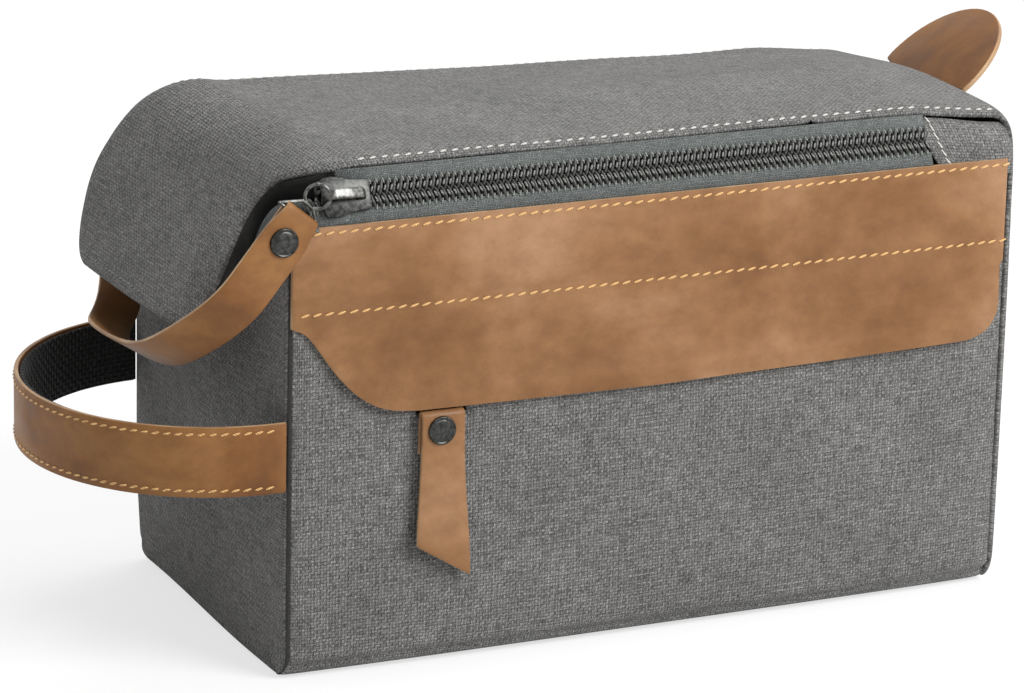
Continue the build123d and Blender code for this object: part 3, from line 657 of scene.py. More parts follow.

# %% [markdown]
# ## Lid over the right end
# The same cloth runs on to the right without a seam, rounds the corner and goes down the end to
# the base, where it spreads to the whole width. It belongs to the bag there and to the lid here,
# so this half is a piece of its own.

# %% Right end cloth
end_swell = ((0, 3.4), (20, 4.0), (60, 4.5), (100, 4.7), (125, 4.5), (140, 4.3), (176, 4.3))
end_top = 138 * mm
corner_round = 6 * mm


def end_half(z):
    """Half the width of the right end at a height."""
    inside = max(0, base_radius - z)
    rounding = math.sqrt(max(0, base_radius ** 2 - inside ** 2))
    return half_depth - base_radius + rounding + 1.0 * mm


def end_bulge(y, z):
    """How far the right end stands out; its edges are tucked in against the walls."""
    inner = (1 - min(1, abs(y) / end_half(z)) ** 12) ** 0.4
    swell = follow(z / mm, *end_swell) * mm
    return swell * inner * (0.4 + 0.6 * ease(z, -2 * mm, 8 * mm)) - 1.4 * mm * (1 - inner)


def end_point(y, z):
    return Vector((half_length + end_bulge(y, z), y, z))


shares = [y / hem_y for y, z in section]
places = steps(lid_split, 100 * mm, 10 * mm) + [x * mm for x in (103.5, 108, 115, 122, 128, 132)]
rows = [[lid_point(x, y, z) for y, z in section] for x in places]
edge_row = rows[-1]
for turn in (25, 50, 75):
    forward = corner_round * math.sin(math.radians(turn))
    down = 1 - math.cos(math.radians(turn))
    rows.append([p + Vector((forward, p.y * 0.05 * down, -corner_round * down)) for p in edge_row])
for fall in (0.12, 0.35, 0.65, 1.0):
    row = []
    for share, p in zip(shares, edge_row):
        first_y, first_z = p.y * 1.05, p.z - corner_round
        last_y = share * end_half(end_top)
        row.append(end_point(first_y + (last_y - first_y) * fall, first_z + (end_top - first_z) * fall))
    rows.append(row)
for z in (126, 113, 100, 87, 74, 61, 48, 36, 25, 16, 10, 5.5, 2.5, 0.8):
    rows.append([end_point(share * end_half(z * mm), z * mm) for share in shares])
strip = double(turn_outward(loft(rows), Vector((1, 0, 0.3))))
end_nodes = ("right_end_panel", "top_end_panel")
end_cloth = piece(strip, "end_cloth", None, canvas, "canvas_grey", end_nodes)
soften(end_cloth)
end_surface = surface_of(end_cloth)
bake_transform(end_cloth)
print("right end faces:", len(end_cloth.data.polygons))

# %% [markdown]
# ## Corner patches
# Where each zip ends, a patch with a curved, stitched edge closes the slope between the lid's hem
# and the front band, and turns the corner under the end cloth.

# %% Patches
near = [(61, 170.6), (63.2, 167.6), (65.6, 163), (67.8, 158), (69.7, 153.6)]
far = [(60, 166.2), (65.2, 164), (68.8, 159.4), (70.2, 154.4), (70.3, 149.5)]
patch_end = 133 * mm
patch_edge, patch_surface = {}, {}


def patch_point(way, x, place):
    share = ease(x, 104 * mm, 134 * mm)
    y = near[place][0] + (far[place][0] - near[place][0]) * share
    z = near[place][1] + (far[place][1] - near[place][1]) * share
    sink = droop(x, way * hem_y) - 3.6 * mm * share
    return Vector((x, way * y * mm, z * mm - 0.6 * sink * (1 - place / 4)))


def patch_line(way, part):
    """A line down the patch; the first one is curved and the last one is at the corner."""
    starts = [99.5 * mm + 7.5 * mm * (place / 4) ** 1.3 for place in range(5)]
    return [patch_point(way, x * (1 - part) + patch_end * part, i) for i, x in enumerate(starts)]


for name, way in ways:
    rows = [patch_line(way, part) for part in (0, 0.12, 0.35, 0.6, 0.8, 1.0)]
    patch_edge[name], last_row = rows[1], rows[5]
    for turn in (30, 60, 90):
        forward = math.sin(math.radians(turn))
        back = 1 - math.cos(math.radians(turn))
        shift = Vector((4.5 * mm * forward, -way * 4.1 * mm * back, -1.8 * mm * back))
        rows.append([p + shift for p in last_row])
    patch = turn_outward(loft(rows), Vector((0.3, way, 0.6)))
    made = piece(patch, f"{name}_patch", "bag", canvas, "canvas_grey", (f"{name}_end_patch",))
    thicken(made, 1.2 * mm)
    soften(made)
    patch_surface[name] = surface_of(made)
print("patches:", list(patch_edge))

# %% [markdown]
# ## Main zips
# Each zip lies on the slope between the front wall and the lid's hem. Its frame is worked out from
# the same edges as the cloth, so tapes, coil and slider all share one plane. The rear zip is the
# same frame turned over to the back.

# %% Zip plane
run, rise = half_depth - hem_y, hem_z - front_top
slope = math.hypot(run, rise)
below = 0.52 * slope
up_slope, out_slope, chain = {}, {}, {}
for name, way in ways:
    up_slope[name] = Vector((0, -way * run / slope, rise / slope))
    out_slope[name] = Vector((0, way * rise / slope, run / slope))
    chain[name] = Vector((0, way * half_depth, front_top)) + up_slope[name] * below


def on_zip(name, x, v, out=0.0):
    """A place on the zip: along it, up its slope from the chain, and out from its plane."""
    spot = chain[name] + Vector((x, 0, 0)) + up_slope[name] * v + out_slope[name] * out
    spot.z -= droop(x, spot.y) * (v + below) / slope
    return spot


def zip_tape(name, level, body, lines, places):
    rows = [[on_zip(name, x, v) for v in lines] for x in places]
    sheet = turn_outward(loft(rows), out_slope[name])
    node_name = f"{name}_{'lower' if level == 'low' else 'upper'}_tape"
    made = piece(sheet, f"{name}_tape_{level}", body, tape, "tape_grey", (node_name,))
    thicken(made, 0.8 * mm, 0.0)


low_lines = (-below - 1 * mm, -below / 2, -4.2 * mm)
high_lines = (4.2 * mm, 6 * mm, slope - below + 1.0 * mm)
for name, way in ways:
    zip_tape(name, "low", "bag", low_lines, steps(-134 * mm, 104 * mm, 14 * mm))
    zip_tape(name, "high", "lid", high_lines, steps(-116 * mm, 103.2 * mm, 14 * mm))
print("zip slope", round(slope / mm, 1), "mm")

# %% [markdown]
# ## Zip tape round the left corner
# Past the slider the zip opens: its lower tape turns the corner and follows the edge of the low
# left end, and its upper tape follows the edge of the flap. Both are lofted between an outer and
# an inner line, so they close the view into the bag as the real tapes do. The flap's tape takes the
# dark lining finish as painted shade under the flap's edge.

# %% Corner tapes
corner_outer = [(-112, 69.2, 154.6), (-128, 69, 154.6), (-133.2, 66.5, 154)]
corner_outer += [(-134.4, 60, 149.5), (-134.6, 53, 140), (-134.4, 47, 129)]
corner_outer += [(-134, 40, 122.4), (-133.6, 20, 121.6), (-133.6, 0, 121.4)]
corner_inner = [(-112, 66.4, 161), (-125, 65.6, 162.6), (-131, 60, 163)]
corner_inner += [(-134.5, 52, 158.5), (-136, 45, 149), (-136.2, 39, 139)]
corner_inner += [(-136, 33, 132), (-134.4, 16, 129.4), (-134.2, 0, 129)]
bow_out = Vector((-0.8, 0.8, 0.4)) * mm
half_rim = []
for outer_place, inner_place in zip(corner_outer, corner_inner):
    first, last = Vector(outer_place) * mm, Vector(inner_place) * mm
    half_rim.append([first, first.lerp(last, 0.5) + bow_out, last])
front_rim = [[Vector((p.x, -p.y, p.z)) for p in row] for row in half_rim]
rim = turn_outward(loft(front_rim + half_rim[-2::-1]), Vector((-1, 0, 0.5)))
end_tape = piece(rim, "end_tape", "bag", tape, "tape_grey", ("end_zip_tape",))
thicken(end_tape, 0.8 * mm, 0.0)
soften(end_tape)


def flap_tape_row(past, way):
    """A line of the flap's tape, from under its edge down into the bag."""
    edge = flap_half(past, way)
    turn = min(past / curl_radius, curl_turn)
    inward = Vector((math.sin(turn), 0, -math.cos(turn)))
    row = []
    for inset, fall in ((1.5, 1.6), (2.6, 4.5), (4.6, 9), (7.5, 13.5)):
        share = way * (edge - inset * mm) / edge
        row.append(flap_point(past, share, 173 * mm) + inward * fall * mm)
    return row


for name, way in ways:
    rows = [flap_tape_row(past, way) for past in steps(2 * mm, curl_length + 34 * mm, 6 * mm)]
    sheet = turn_outward(loft(rows), Vector((0, way, 0)))
    edge_name, node_name = f"{name}_flap_edge_tape_painted_shade", f"{name}_flap_tape"
    # The flap's tape takes the dark lining finish instead of the tape cloth: painted shade under the
    # flap's edge.
    thicken(piece(sheet, edge_name, "end_flap", lining, "tape_grey", (node_name,)), 0.7 * mm, 0.0)
print("corner tapes in")

# %% [markdown]
# ## Coil
# A nylon zip is a spiral whose turns lock with those of the other side. Seen from outside, each
# turn is a short rounded bar, with sewing thread across it near the tape. A bar and two thread
# bumps per turn, repeated at the real pitch, read as that spiral and stay light. The thread bumps
# are pale, so they are the sewing thread and also painted highlights on the turns.


# %% Coil rows
def coil_row(x_first, x_last, pitch, place, reach, inner, height, lean_way):
    """One rounded bar, repeated at the pitch along a line."""
    bm, bar = bmesh.new(), ball(8, 6, Matrix.Rotation(math.pi / 2, 4, "X"))
    x_way = Vector((1, 0, 0))
    for index in range(int((x_last - x_first) / pitch)):
        x = x_first + pitch * index
        centre, v_way = place(x, (reach + inner) / 2), place(x, reach) - place(x, inner)
        out = (place(x, 0, 1) - place(x, 0, 0)).normalized()
        v_dir = (v_way.normalized() + x_way * lean_way).normalized()
        size = Matrix.Diagonal((0.34 * pitch, v_way.length / 2, height / 2, 1))
        stamp(bm, bar, Matrix.Translation(centre) @ axes(x_way, v_dir, out) @ size)
    return bm


def coil_sewing_and_highlights(x_first, x_last, pitch, place, far, height):
    """The thread that holds the coil: a bump between every two turns, in two rows; its pale colour is
    also a painted highlight.
    """
    bm, bump_shape = bmesh.new(), ball(6, 4)
    size = Matrix.Diagonal((0.17 * pitch, 1.15 * mm, height * 0.12, 1))
    hand = 1 if far > 0 else -1
    for index in range(int((x_last - x_first) / pitch)):
        x = x_first + pitch * (index + 0.5)
        out = (place(x, 0, 1) - place(x, 0, 0)).normalized()
        up = (place(x, 1) - place(x, 0)).normalized()
        for v, tilt, lift in ((far * 0.34, 0.5, 0.42), (far * 0.86, -0.35, 0.2)):
            way = (Vector((1, 0, 0)) * tilt * hand + up).normalized()
            spot = place(x, v) + out * height * lift
            stamp(bm, bump_shape, Matrix.Translation(spot) @ axes(way.cross(out), way, out) @ size)
    return bm


coil_pitch, coil_reach, coil_inner, coil_height = 2.34 * mm, 5.1 * mm, 0.9 * mm, 2.9 * mm
coil_first, coil_last = -128 * mm, 105 * mm
for name, way in ways:
    def zip_place(x, v, out=0.0, name=name):
        return on_zip(name, x, v, out)
    for level, words, body, hand in (("low", "lower", "bag", -1), ("high", "upper", "lid", 1)):
        first = coil_first if hand < 0 else coil_first + coil_pitch * 9.5
        line = (first, coil_last, coil_pitch, zip_place)
        turns = coil_row(*line, hand * coil_reach, -hand * coil_inner, coil_height, 0.3)
        piece(turns, f"{name}_coil_{level}", body, coil_nylon, "coil_dark", (f"{name}_{words}_coil",))
        # The pale sewing bumps are real thread and also painted highlights on the coil's turns.
        sewing = coil_sewing_and_highlights(*line, hand * 5 * mm, coil_height)
        piece(sewing, f"{name}_sewing_{level}", body, coil_thread_and_highlight, "coil_dark")
print("turns in one row:", int((coil_last - coil_first) / coil_pitch))

# %% [markdown]
# ## Sliders
# A slider is cast metal: two plates shaped like a shield with rolled rims, joined at the mouth,
# and an arched bridge on top that carries the ring. The shield starts as a flat outline that is
# extruded and bevelled, and the bridge is a bar pulled along an arch.


# %% Slider bodies
def solid_outline(bm, points, low, high, seat, bevel, segments=2):
    """A closed outline in millimetres, filled, raised from low to high, with rounded edges."""
    verts = [bm.verts.new(Vector((x * mm, v * mm, low))) for x, v in points]
    raised = bmesh.ops.extrude_face_region(bm, geom=[bm.faces.new(verts)])["geom"]
    tops = [g for g in raised if isinstance(g, bmesh.types.BMVert)]
    bmesh.ops.translate(bm, vec=(0, 0, high - low), verts=tops)
    group = set(verts) | set(tops)
    edges = [e for e in bm.edges if e.verts[0] in group and e.verts[1] in group]
    looks = {"profile": 0.5, "affect": "EDGES", "material": -1}
    made = bmesh.ops.bevel(bm, geom=edges, offset=bevel, segments=segments, **looks)
    for vert in {v for v in group | set(made["verts"]) if v.is_valid}:
        vert.co = seat @ vert.co


half_shield = [(1, 5.2), (2, 6.4), (5, 6.8), (8, 6.4), (11.5, 5.5), (14.5, 5.2), (18, 5.1)]
shield = [(x, -v) for x, v in half_shield] + half_shield[::-1]
rim = [(2.4, 5.5), (8, 5.5), (11.5, 4.7), (17.8, 4.4), (17.8, 5.0), (11.5, 5.4), (8, 6.3), (5, 6.7)]
rim += [(2.4, 6.3)]
wedge = [(0.4, 1.4), (2.8, 1.6), (2.8, 2.8), (0.4, 2.8)]
arch = [(0.6, 3.1), (0.6, 8.6), (1.6, 9.8), (3.2, 10.1), (9, 9.4), (13.6, 8.2), (16.4, 3.1)]
arch += [(14.6, 3.1), (12.4, 7.0), (8.8, 7.8), (3.6, 8.4), (2.6, 8.0), (2.4, 3.1)]
slider_left = -124 * mm
sharp = math.radians(38)


def slider_body(seat):
    bm = bmesh.new()
    for low, high in ((2.0, 3.2), (-3.2, -2.0)):
        solid_outline(bm, shield, low * mm, high * mm, seat, 0.45 * mm)
    for way in (-1, 1):
        for low, high in ((0.9, 2.2), (-2.2, -0.9)):
            outline = [(x, way * v) for x, v in rim]
            solid_outline(bm, outline, low * mm, high * mm, seat, 0.3 * mm)
    solid_outline(bm, wedge, -2.1 * mm, 2.1 * mm, seat, 0.2 * mm)
    bmesh.ops.recalc_face_normals(bm, faces=bm.faces[:])
    return bm


def slider_bridge(seat):
    bm = bmesh.new()
    side_on = seat @ Matrix.Rotation(math.pi / 2, 4, "X")
    solid_outline(bm, arch, -1.8 * mm, 1.8 * mm, side_on, 0.6 * mm, 3)
    bmesh.ops.recalc_face_normals(bm, faces=bm.faces[:])
    return bm


for name, way in ways:
    turn = axes(Vector((1, 0, 0)), up_slope[name], out_slope[name])
    seat = Matrix.Translation(on_zip(name, slider_left, 0)) @ turn
    body = f"{name}_slider"
    made = piece(slider_body(seat), body, body, metal, "metal_dark", (f"{name}_slider_body",))
    made.data.set_sharp_from_angle(angle=sharp)
    made = piece(slider_bridge(seat), f"{name}_bridge", body, worn_metal, "metal_dark")
    made.data.set_sharp_from_angle(angle=sharp)
print("sliders at x =", slider_left)

# %% [markdown]
# ## Leather on the front
# One hide makes the band and the flap: it is sewn down along two rows and hangs free below the
# second. A grid whose lower edge follows the cut line is laid against the swell of the cloth by
# casting a ray at each point.

# %% Front hide
cut_left = [(-134, 121.6), (-132.2, 121), (-130, 120), (-128, 118.2), (-126, 115.7), (-124, 112.8)]
cut_left += [(-121.5, 109), (-118.5, 104.8), (-115, 100.8), (-111.5, 97.5), (-108, 94.9)]
cut_left += [(-104, 92.9), (-99, 91.4), (-92, 90.5)]
cut_right = [(0, 89.8), (70, 91), (118, 92), (122, 92.8), (125, 94), (127.5, 95.8), (129.5, 98.2)]
cut_right += [(130.8, 101), (131.4, 104), (131.7, 116.8), (133.2, 119.6)]
fold_start = band_low - 1.2 * mm


def cut_line(x):
    """Height of the hide's cut lower edge."""
    return follow(x / mm, *cut_left, *cut_right) * mm


def wall_y(x, z):
    hit = walls.ray_cast(Vector((x, -0.3, min(z, 152 * mm))), Vector((0, 1, 0)))[0]
    return min(-half_depth, hit.y) if hit else -half_depth


def hide_column(x):
    """Points of the hide from its top edge down to its cut edge, a little off the cloth."""
    heights = steps(front_top, band_low + 1 * mm, 8 * mm)
    heights += [fold_start + (cut_line(x) - fold_start) * part for part in (0, 0.2, 0.4, 0.6, 0.8, 1)]
    column = []
    for z in heights:
        stand = 0.4 * mm + 1.8 * mm * ease(band_low - z, 0, 30 * mm)
        column.append(Vector((x, wall_y(x, z) - stand, z)))
    return column


columns = steps(-134 * mm, -96 * mm, 1.6 * mm) + steps(-90 * mm, 112 * mm, 9 * mm)
columns += steps(118 * mm, 130.8 * mm, 1.2 * mm) + [131.4 * mm, 131.7 * mm, 133.2 * mm]
hide = turn_outward(loft([hide_column(x) for x in columns]), Vector((0, -1, 0)))
hide_nodes = ("leather_band", "leather_flap")
front_hide = piece(hide, "front_hide", None, leather, "leather_tan", hide_nodes)
thicken(front_hide, 1.7 * mm, 0.0, raw_edge)
round_edges(front_hide, 0.5 * mm)
hide_surface = surface_of(front_hide)
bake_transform(front_hide)
print("hide faces:", len(front_hide.data.polygons))

# %% [markdown]
# ## Stitches
# Each row of sewing is drawn as separate stitches, because they catch the light one by one. A
# helper walks along a line, drops each stitch onto the surface below it and turns it to lie along
# the row, with a small slant as sewn thread has.


# %% Stitch rows
def walk(line, pitch):
    """Evenly spaced places along a line, each with its direction."""
    reach = pitch / 2
    for here, there in zip(line, line[1:]):
        length = (there - here).length
        while reach < length:
            yield here.lerp(there, reach / length), (there - here).normalized()
            reach += pitch
        reach -= length


def stitch_row(name, lines, surface, body, finish, slot, pitch, long, thick):
    bm, thread = bmesh.new(), ball(7, 6, Matrix.Rotation(math.pi / 2, 4, "Y"))
    size = Matrix.Diagonal((long / 2, thick, thick * 0.75, 1))
    for line in lines:
        for spot, direction in walk([Vector(p) for p in line], pitch):
            found, normal = surface.find_nearest(spot)[:2]
            if (found - spot).length > 8 * mm:
                continue
            lie = (direction + normal.cross(direction).normalized() * 0.26).normalized()
            turn = axes(lie, normal.cross(lie).normalized(), normal)
            stamp(bm, thread, Matrix.Translation(found + normal * thick * 0.3) @ turn @ size)
    print(name, "faces:", len(bm.faces))
    return piece(bm, name, body, finish, slot)


def hem_lines(first, last, size):
    """The two rows of sewing along the lid's hems."""
    lines = []
    for way in (-1, 1):
        y = way * 59.7 * mm
        lines.append([(x, y, 173.9 * mm - droop(x, y)) for x in steps(first, last, size)])
    return lines


tan_sewing = (orange_thread, "leather_tan", 4.3 * mm, 3.3 * mm, 0.43 * mm)
hem_sewing = (pale_thread, "canvas_grey", 4.2 * mm, 2.7 * mm, 0.42 * mm)
patch_sewing = (pale_thread, "canvas_grey", 3.2 * mm, 3.3 * mm, 0.36 * mm)
flap_sewing = (coil_thread_and_highlight, "canvas_grey", 3.2 * mm, 2.0 * mm, 0.25 * mm)
sewn_heights = (front_top - 2.0 * mm, band_low + 2.2 * mm)
sewn_places = steps(-132 * mm, 132.6 * mm, 10 * mm)
hide_lines = [[(x, -73.5 * mm, z) for x in sewn_places] for z in sewn_heights]
stitch_row("hide_stitches", hide_lines, hide_surface, "bag", *tan_sewing)
lid_hem = hem_lines(curl_x, lid_split - 2 * mm, 10 * mm)
stitch_row("lid_stitches", lid_hem, lid_surface, "lid", *hem_sewing)
end_hem = hem_lines(lid_split, 101 * mm, 8 * mm)
stitch_row("lid_end_stitches", end_hem, end_surface, "lid", *hem_sewing)
corner_hem = hem_lines(104 * mm, 133 * mm, 5 * mm)
stitch_row("corner_stitches", corner_hem, end_surface, "bag", *hem_sewing)
for name, way in ways:
    line = [p + Vector((1.2 * mm, 0, 0)) for p in patch_edge[name]]
    stitch_row(f"{name}_patch_stitches", [line], patch_surface[name], "bag", *patch_sewing)
flap_inset, flap_z = 3.6 * mm, 174 * mm
flap_lines = []
for way in (-1, 1):
    line = []
    for past in steps(5 * mm, curl_length + drop - flap_corner, 4 * mm):
        line.append(flap_point(past, way * (1 - flap_inset / flap_half(past, way)), flap_z))
    flap_lines.append(line)
lowest = curl_length + drop - flap_inset
flap_lines.append([flap_point(lowest, share, flap_z) for share in steps(-0.8, 0.8, 0.1)])
stitch_row("flap_stitches", flap_lines, lid_surface, "end_flap", *flap_sewing)

# %% [markdown]
# ## Pull strap
# One leather strap joins the two sliders: it is folded round a wire at each end, riveted, and
# hangs as a loop round the left end of the bag. The path follows the loop in its own slanted
# plane, and the fold is a second, shorter layer behind each end.

# %% Strap path
ring_centre = Vector((-126, -71.546, 165.854)) * mm
strap_x, strap_out, arm, bow = -128 * mm, 73.4 * mm, 36 * mm, 38 * mm
strap_end_width = 13.4 * mm


def hang_angle(y):
    """The loop hangs flatter at the front, and steeper at the back, where it lies against the bag."""
    return math.radians(32 + 7 * ease(-y, 20 * mm, strap_out) - 17 * ease(y, 0, strap_out))


def loop_point(u, y):
    """A place on the loop's slanted plane; the rear end sits a little lower and closer in."""
    a, rear = hang_angle(y), ease(y, 0, strap_out)
    spot = Vector((strap_x - u * math.sin(a), y, ring_centre.z - u * math.cos(a)))
    return spot + Vector((1.5, -1.5, -4)) * mm * rear


def strap_across(y):
    return Vector((-math.cos(hang_angle(y)), 0, math.sin(hang_angle(y))))


def strap_width(part):
    """The strap is cut narrower at its two ends."""
    return strap_end_width + 3.4 * mm * ease(min(part, 1 - part), 0, 0.05)


arm_places = steps(7 * mm, arm, 4 * mm)[:-1]
strap_path = [loop_point(u, -strap_out) for u in arm_places]
for turn in steps(-math.pi / 2, math.pi / 2, 0.09):
    strap_path.append(loop_point(arm + bow * math.cos(turn), strap_out * math.sin(turn)))
strap_path += [loop_point(u, strap_out) for u in reversed(arm_places)]


def across_path(part):
    return strap_across(strap_path[round(part * (len(strap_path) - 1))].y)


# %% Strap loop
def strap_fold(way):
    """The short layer behind an end of the strap, bent round its wire."""
    path = []
    for turn in steps(math.pi / 2, math.pi * 1.5, 0.35):
        depth, out = 7.6 + 1.5 * math.cos(turn), 72.0 + 1.35 * math.sin(turn)
        path.append(loop_point(depth * mm, way * out * mm))
    path += [loop_point(u * mm, way * 70.6 * mm) for u in (12, 18, 23)]
    return ribbon(path, strap_across(way * strap_out), strap_end_width, 4)


strap = ribbon(strap_path, across_path, strap_width, 4)
for way in (-1, 1):
    join(strap, strap_fold(way))
bmesh.ops.recalc_face_normals(strap, faces=strap.faces[:])
strap_loop = piece(strap, "strap_loop", "main_pull", strap_leather, "leather_tan", ("pull_strap",))
thicken(strap_loop, 1.4 * mm, 0.0, raw_edge)
round_edges(strap_loop, 0.4 * mm)
strap_length = sum((a - b).length for a, b in zip(strap_path, strap_path[1:]))
print("strap length", round(strap_length / mm), "mm")

# %% [markdown]
# ## Rivets
# A rivet cap is a turned shape, so its half profile is spun about its axis: a low dome with a
# rolled rim, on a thin washer that presses into the leather.

# %% Rivets
cap_profile = [(0, 1.25), (1.6, 1.2), (3.0, 1.0), (3.7, 0.82), (4.0, 0.62), (4.25, 0.95)]
cap_profile += [(4.55, 1.05), (4.85, 0.85), (4.95, 0.4), (4.9, -0.3)]
cap_scale = 4.9 / 4.95


def rivet(name, centre, normal, body, node_name):
    bm = bmesh.new()
    verts = [bm.verts.new((r * mm * cap_scale, 0, h * mm)) for r, h in cap_profile]
    edges = [bm.edges.new(pair) for pair in zip(verts, verts[1:])]
    spin = {"cent": (0, 0, 0), "axis": (0, 0, 1), "angle": 2 * math.pi, "steps": 40}
    bmesh.ops.spin(bm, geom=verts + edges, use_merge=True, **spin)
    bmesh.ops.remove_doubles(bm, verts=bm.verts[:], dist=0.01 * mm)
    bmesh.ops.recalc_face_normals(bm, faces=bm.faces[:])
    turn = Vector(normal).to_track_quat("Z", "Y").to_matrix().to_4x4()
    bmesh.ops.transform(bm, matrix=Matrix.Translation(centre) @ turn, verts=bm.verts[:])
    return piece(bm, name, body, metal, "metal_dark", (node_name,))


for name, way in ways:
    centre = loop_point(17.2 * mm, way * strap_out) + Vector((0, way * 0.7 * mm, 0))
    rivet(f"{name}_rivet", centre, (0, way, 0), "main_pull", f"{name}_strap_rivet")
print("strap rivets in")

# %% [markdown]
# ## Rings and wire links
# A round ring hangs in the bridge of each slider, and a bent wire joins it to the fold of the
# strap. A small circle spun about the ring's axis makes the ring, and short straight rods with
# rounded ends make the wire, whose ends show on both sides of the leather.

# %% Rings and links
wire, ring_radius = 0.6 * mm, 4.1 * mm
rear_ring_shift = Vector((3.5, -1.5, -5)) * mm


def rod(bm, start, end):
    """A round rod between two points, with rounded ends."""
    middle, length = (start + end) / 2, (end - start).length
    turn = (end - start).to_track_quat("Z", "Y").to_matrix().to_4x4()
    size = {"u_segments": 12, "v_segments": 10, "radius": wire}
    made = bmesh.ops.create_uvsphere(bm, matrix=Matrix.Identity(4), **size)["verts"]
    for vert in made:
        if abs(vert.co.z) > 0.01 * wire:
            vert.co.z += math.copysign(length / 2, vert.co.z)
    bmesh.ops.transform(bm, matrix=Matrix.Translation(middle) @ turn, verts=made)


def ring(centre, turn):
    bm = bmesh.new()
    start = Matrix.Translation((ring_radius, 0, 0))
    bmesh.ops.create_circle(bm, segments=12, radius=wire, matrix=start)
    spin = {"cent": (0, 0, 0), "axis": (0, 1, 0), "angle": 2 * math.pi, "steps": 40}
    bmesh.ops.spin(bm, geom=bm.verts[:] + bm.edges[:], use_merge=True, **spin)
    bmesh.ops.recalc_face_normals(bm, faces=bm.faces[:])
    lie = Matrix.Translation(centre) @ Matrix.Rotation(turn, 4, "Z")
    bmesh.ops.transform(bm, matrix=lie, verts=bm.verts[:])
    return bm


def wire_link(centre, way):
    """Four rods: through the strap's fold, up both sides, and across the ring."""
    bm = bmesh.new()
    bar, across = loop_point(7.7 * mm, way * 72 * mm), strap_across(way * strap_out)
    held = centre + Vector((-3.6, 0, -2.2)) * mm
    bar_ends = [bar + across * 8.6 * mm, bar - across * 8.6 * mm]
    held_ends = [held + across * 2.2 * mm, held - across * 2.2 * mm]
    rod(bm, *bar_ends)
    rod(bm, *held_ends)
    for bar_end, held_end in zip(bar_ends, held_ends):
        rod(bm, bar_end, held_end)
    return bm


for name, way in ways:
    centre = Vector((ring_centre.x, -way * ring_centre.y, ring_centre.z))
    if way > 0:
        centre += rear_ring_shift
    hoop = ring(centre, math.radians(way * 24))
    piece(hoop, f"{name}_hoop", f"{name}_slider", worn_metal, "metal_dark", (f"{name}_ring",))
    link_nodes = (f"{name}_strap_link",)
    link = wire_link(centre, way)
    piece(link, f"{name}_wire_link", "main_pull", worn_metal, "metal_dark", link_nodes)
print("rings and links for both sliders")

# %% [markdown]
# ## Carrying handle
# The handle is leather outside and ribbed webbing inside, sewn along both edges, in a half circle
# that stands out from the left end.

# %% Handle
handle_z, handle_x, handle_sink = 78.2 * mm, -135 * mm, 1.2 * mm


def half_round(radius):
    """The handle's path: nearly a half circle, a little lower at its far side."""
    stand, path = radius - 4.6 * mm, []
    for turn in steps(0, math.pi, 0.06):
        z = handle_z - handle_sink * math.sin(turn)
        path.append(Vector((handle_x - stand * math.sin(turn), -radius * math.cos(turn), z)))
    return path


upright = Vector((0, 0, 1))
outer = ribbon(half_round(68.2 * mm), upright, 24 * mm, 4)
outer_nodes, inner_nodes = ("handle_leather",), ("handle_webbing",)
handle_outside = piece(outer, "handle_outside", "bag", strap_leather, "leather_tan", outer_nodes)
thicken(handle_outside, 1.6 * mm, 0.0, raw_edge)
round_edges(handle_outside, 0.5 * mm)
inner = ribbon(half_round(66.4 * mm), upright, 22.5 * mm, 4)
handle_inside = piece(inner, "handle_inside", "bag", webbing, "webbing_black", inner_nodes)
thicken(handle_inside, 1.3 * mm, 0.0)
round_edges(handle_inside, 0.4 * mm)
handle_surface = surface_of(handle_outside)
sewn_path = half_round(69.2 * mm)[1:-1]
handle_lines = [[p + upright * way * 9.6 * mm for p in sewn_path] for way in (-1, 1)]
handle_sewing = (orange_thread, "leather_tan", 3.8 * mm, 2.9 * mm, 0.43 * mm)
stitch_row("handle_stitches", handle_lines, handle_surface, "bag", *handle_sewing)

# %% [markdown]
# ## End tab
# A rounded tongue of thick leather stands up from the right end. A circle is squashed into the
# tongue, its lower half is flattened to a straight root, and the sheet is thickened and eased.

# %% Tab
tab_lean, tab_half_width, tab_height = math.radians(50), 27 * mm, 29 * mm
tab_root = Vector((136.4, 0, 165)) * mm
tongue = bmesh.new()
bmesh.ops.create_circle(tongue, cap_ends=True, segments=56, radius=1)
for _ in range(3):
    largest = max(tongue.faces, key=lambda face: face.calc_area())
    bmesh.ops.inset_region(tongue, faces=[largest], thickness=0.2)
for vert in tongue.verts:
    if vert.co.y < 0:
        vert.co.y *= 0.31
        if abs(vert.co.x) > 0.01 and vert.co.length > 0.9:
            vert.co.x = math.copysign(abs(vert.co.x) ** 0.2, vert.co.x)
    vert.co.x, vert.co.y = vert.co.x * tab_half_width, 9 * mm + vert.co.y * tab_height
tab_along, tab_up = Vector((0, 1, 0)), Vector((math.sin(tab_lean), 0, math.cos(tab_lean)))
lie = Matrix.Translation(tab_root) @ axes(tab_along, tab_up, tab_along.cross(tab_up))
bmesh.ops.transform(tongue, matrix=lie, verts=tongue.verts[:])
end_tongue = piece(tongue, "end_tongue", "tab", strap_leather, "leather_tan", ("end_tab",))
thicken(end_tongue, 2.1 * mm, 0.0, raw_edge)
round_edges(end_tongue, 0.6 * mm)
print("tab leans", round(math.degrees(tab_lean)), "degrees")

# %% [markdown]
# ## Pocket zip, slider and pull
# Under the flap lies a small coil zip. Its slider's wire reaches down behind the flap and holds a
# leather pull with a slanted end, folded over the wire and riveted.

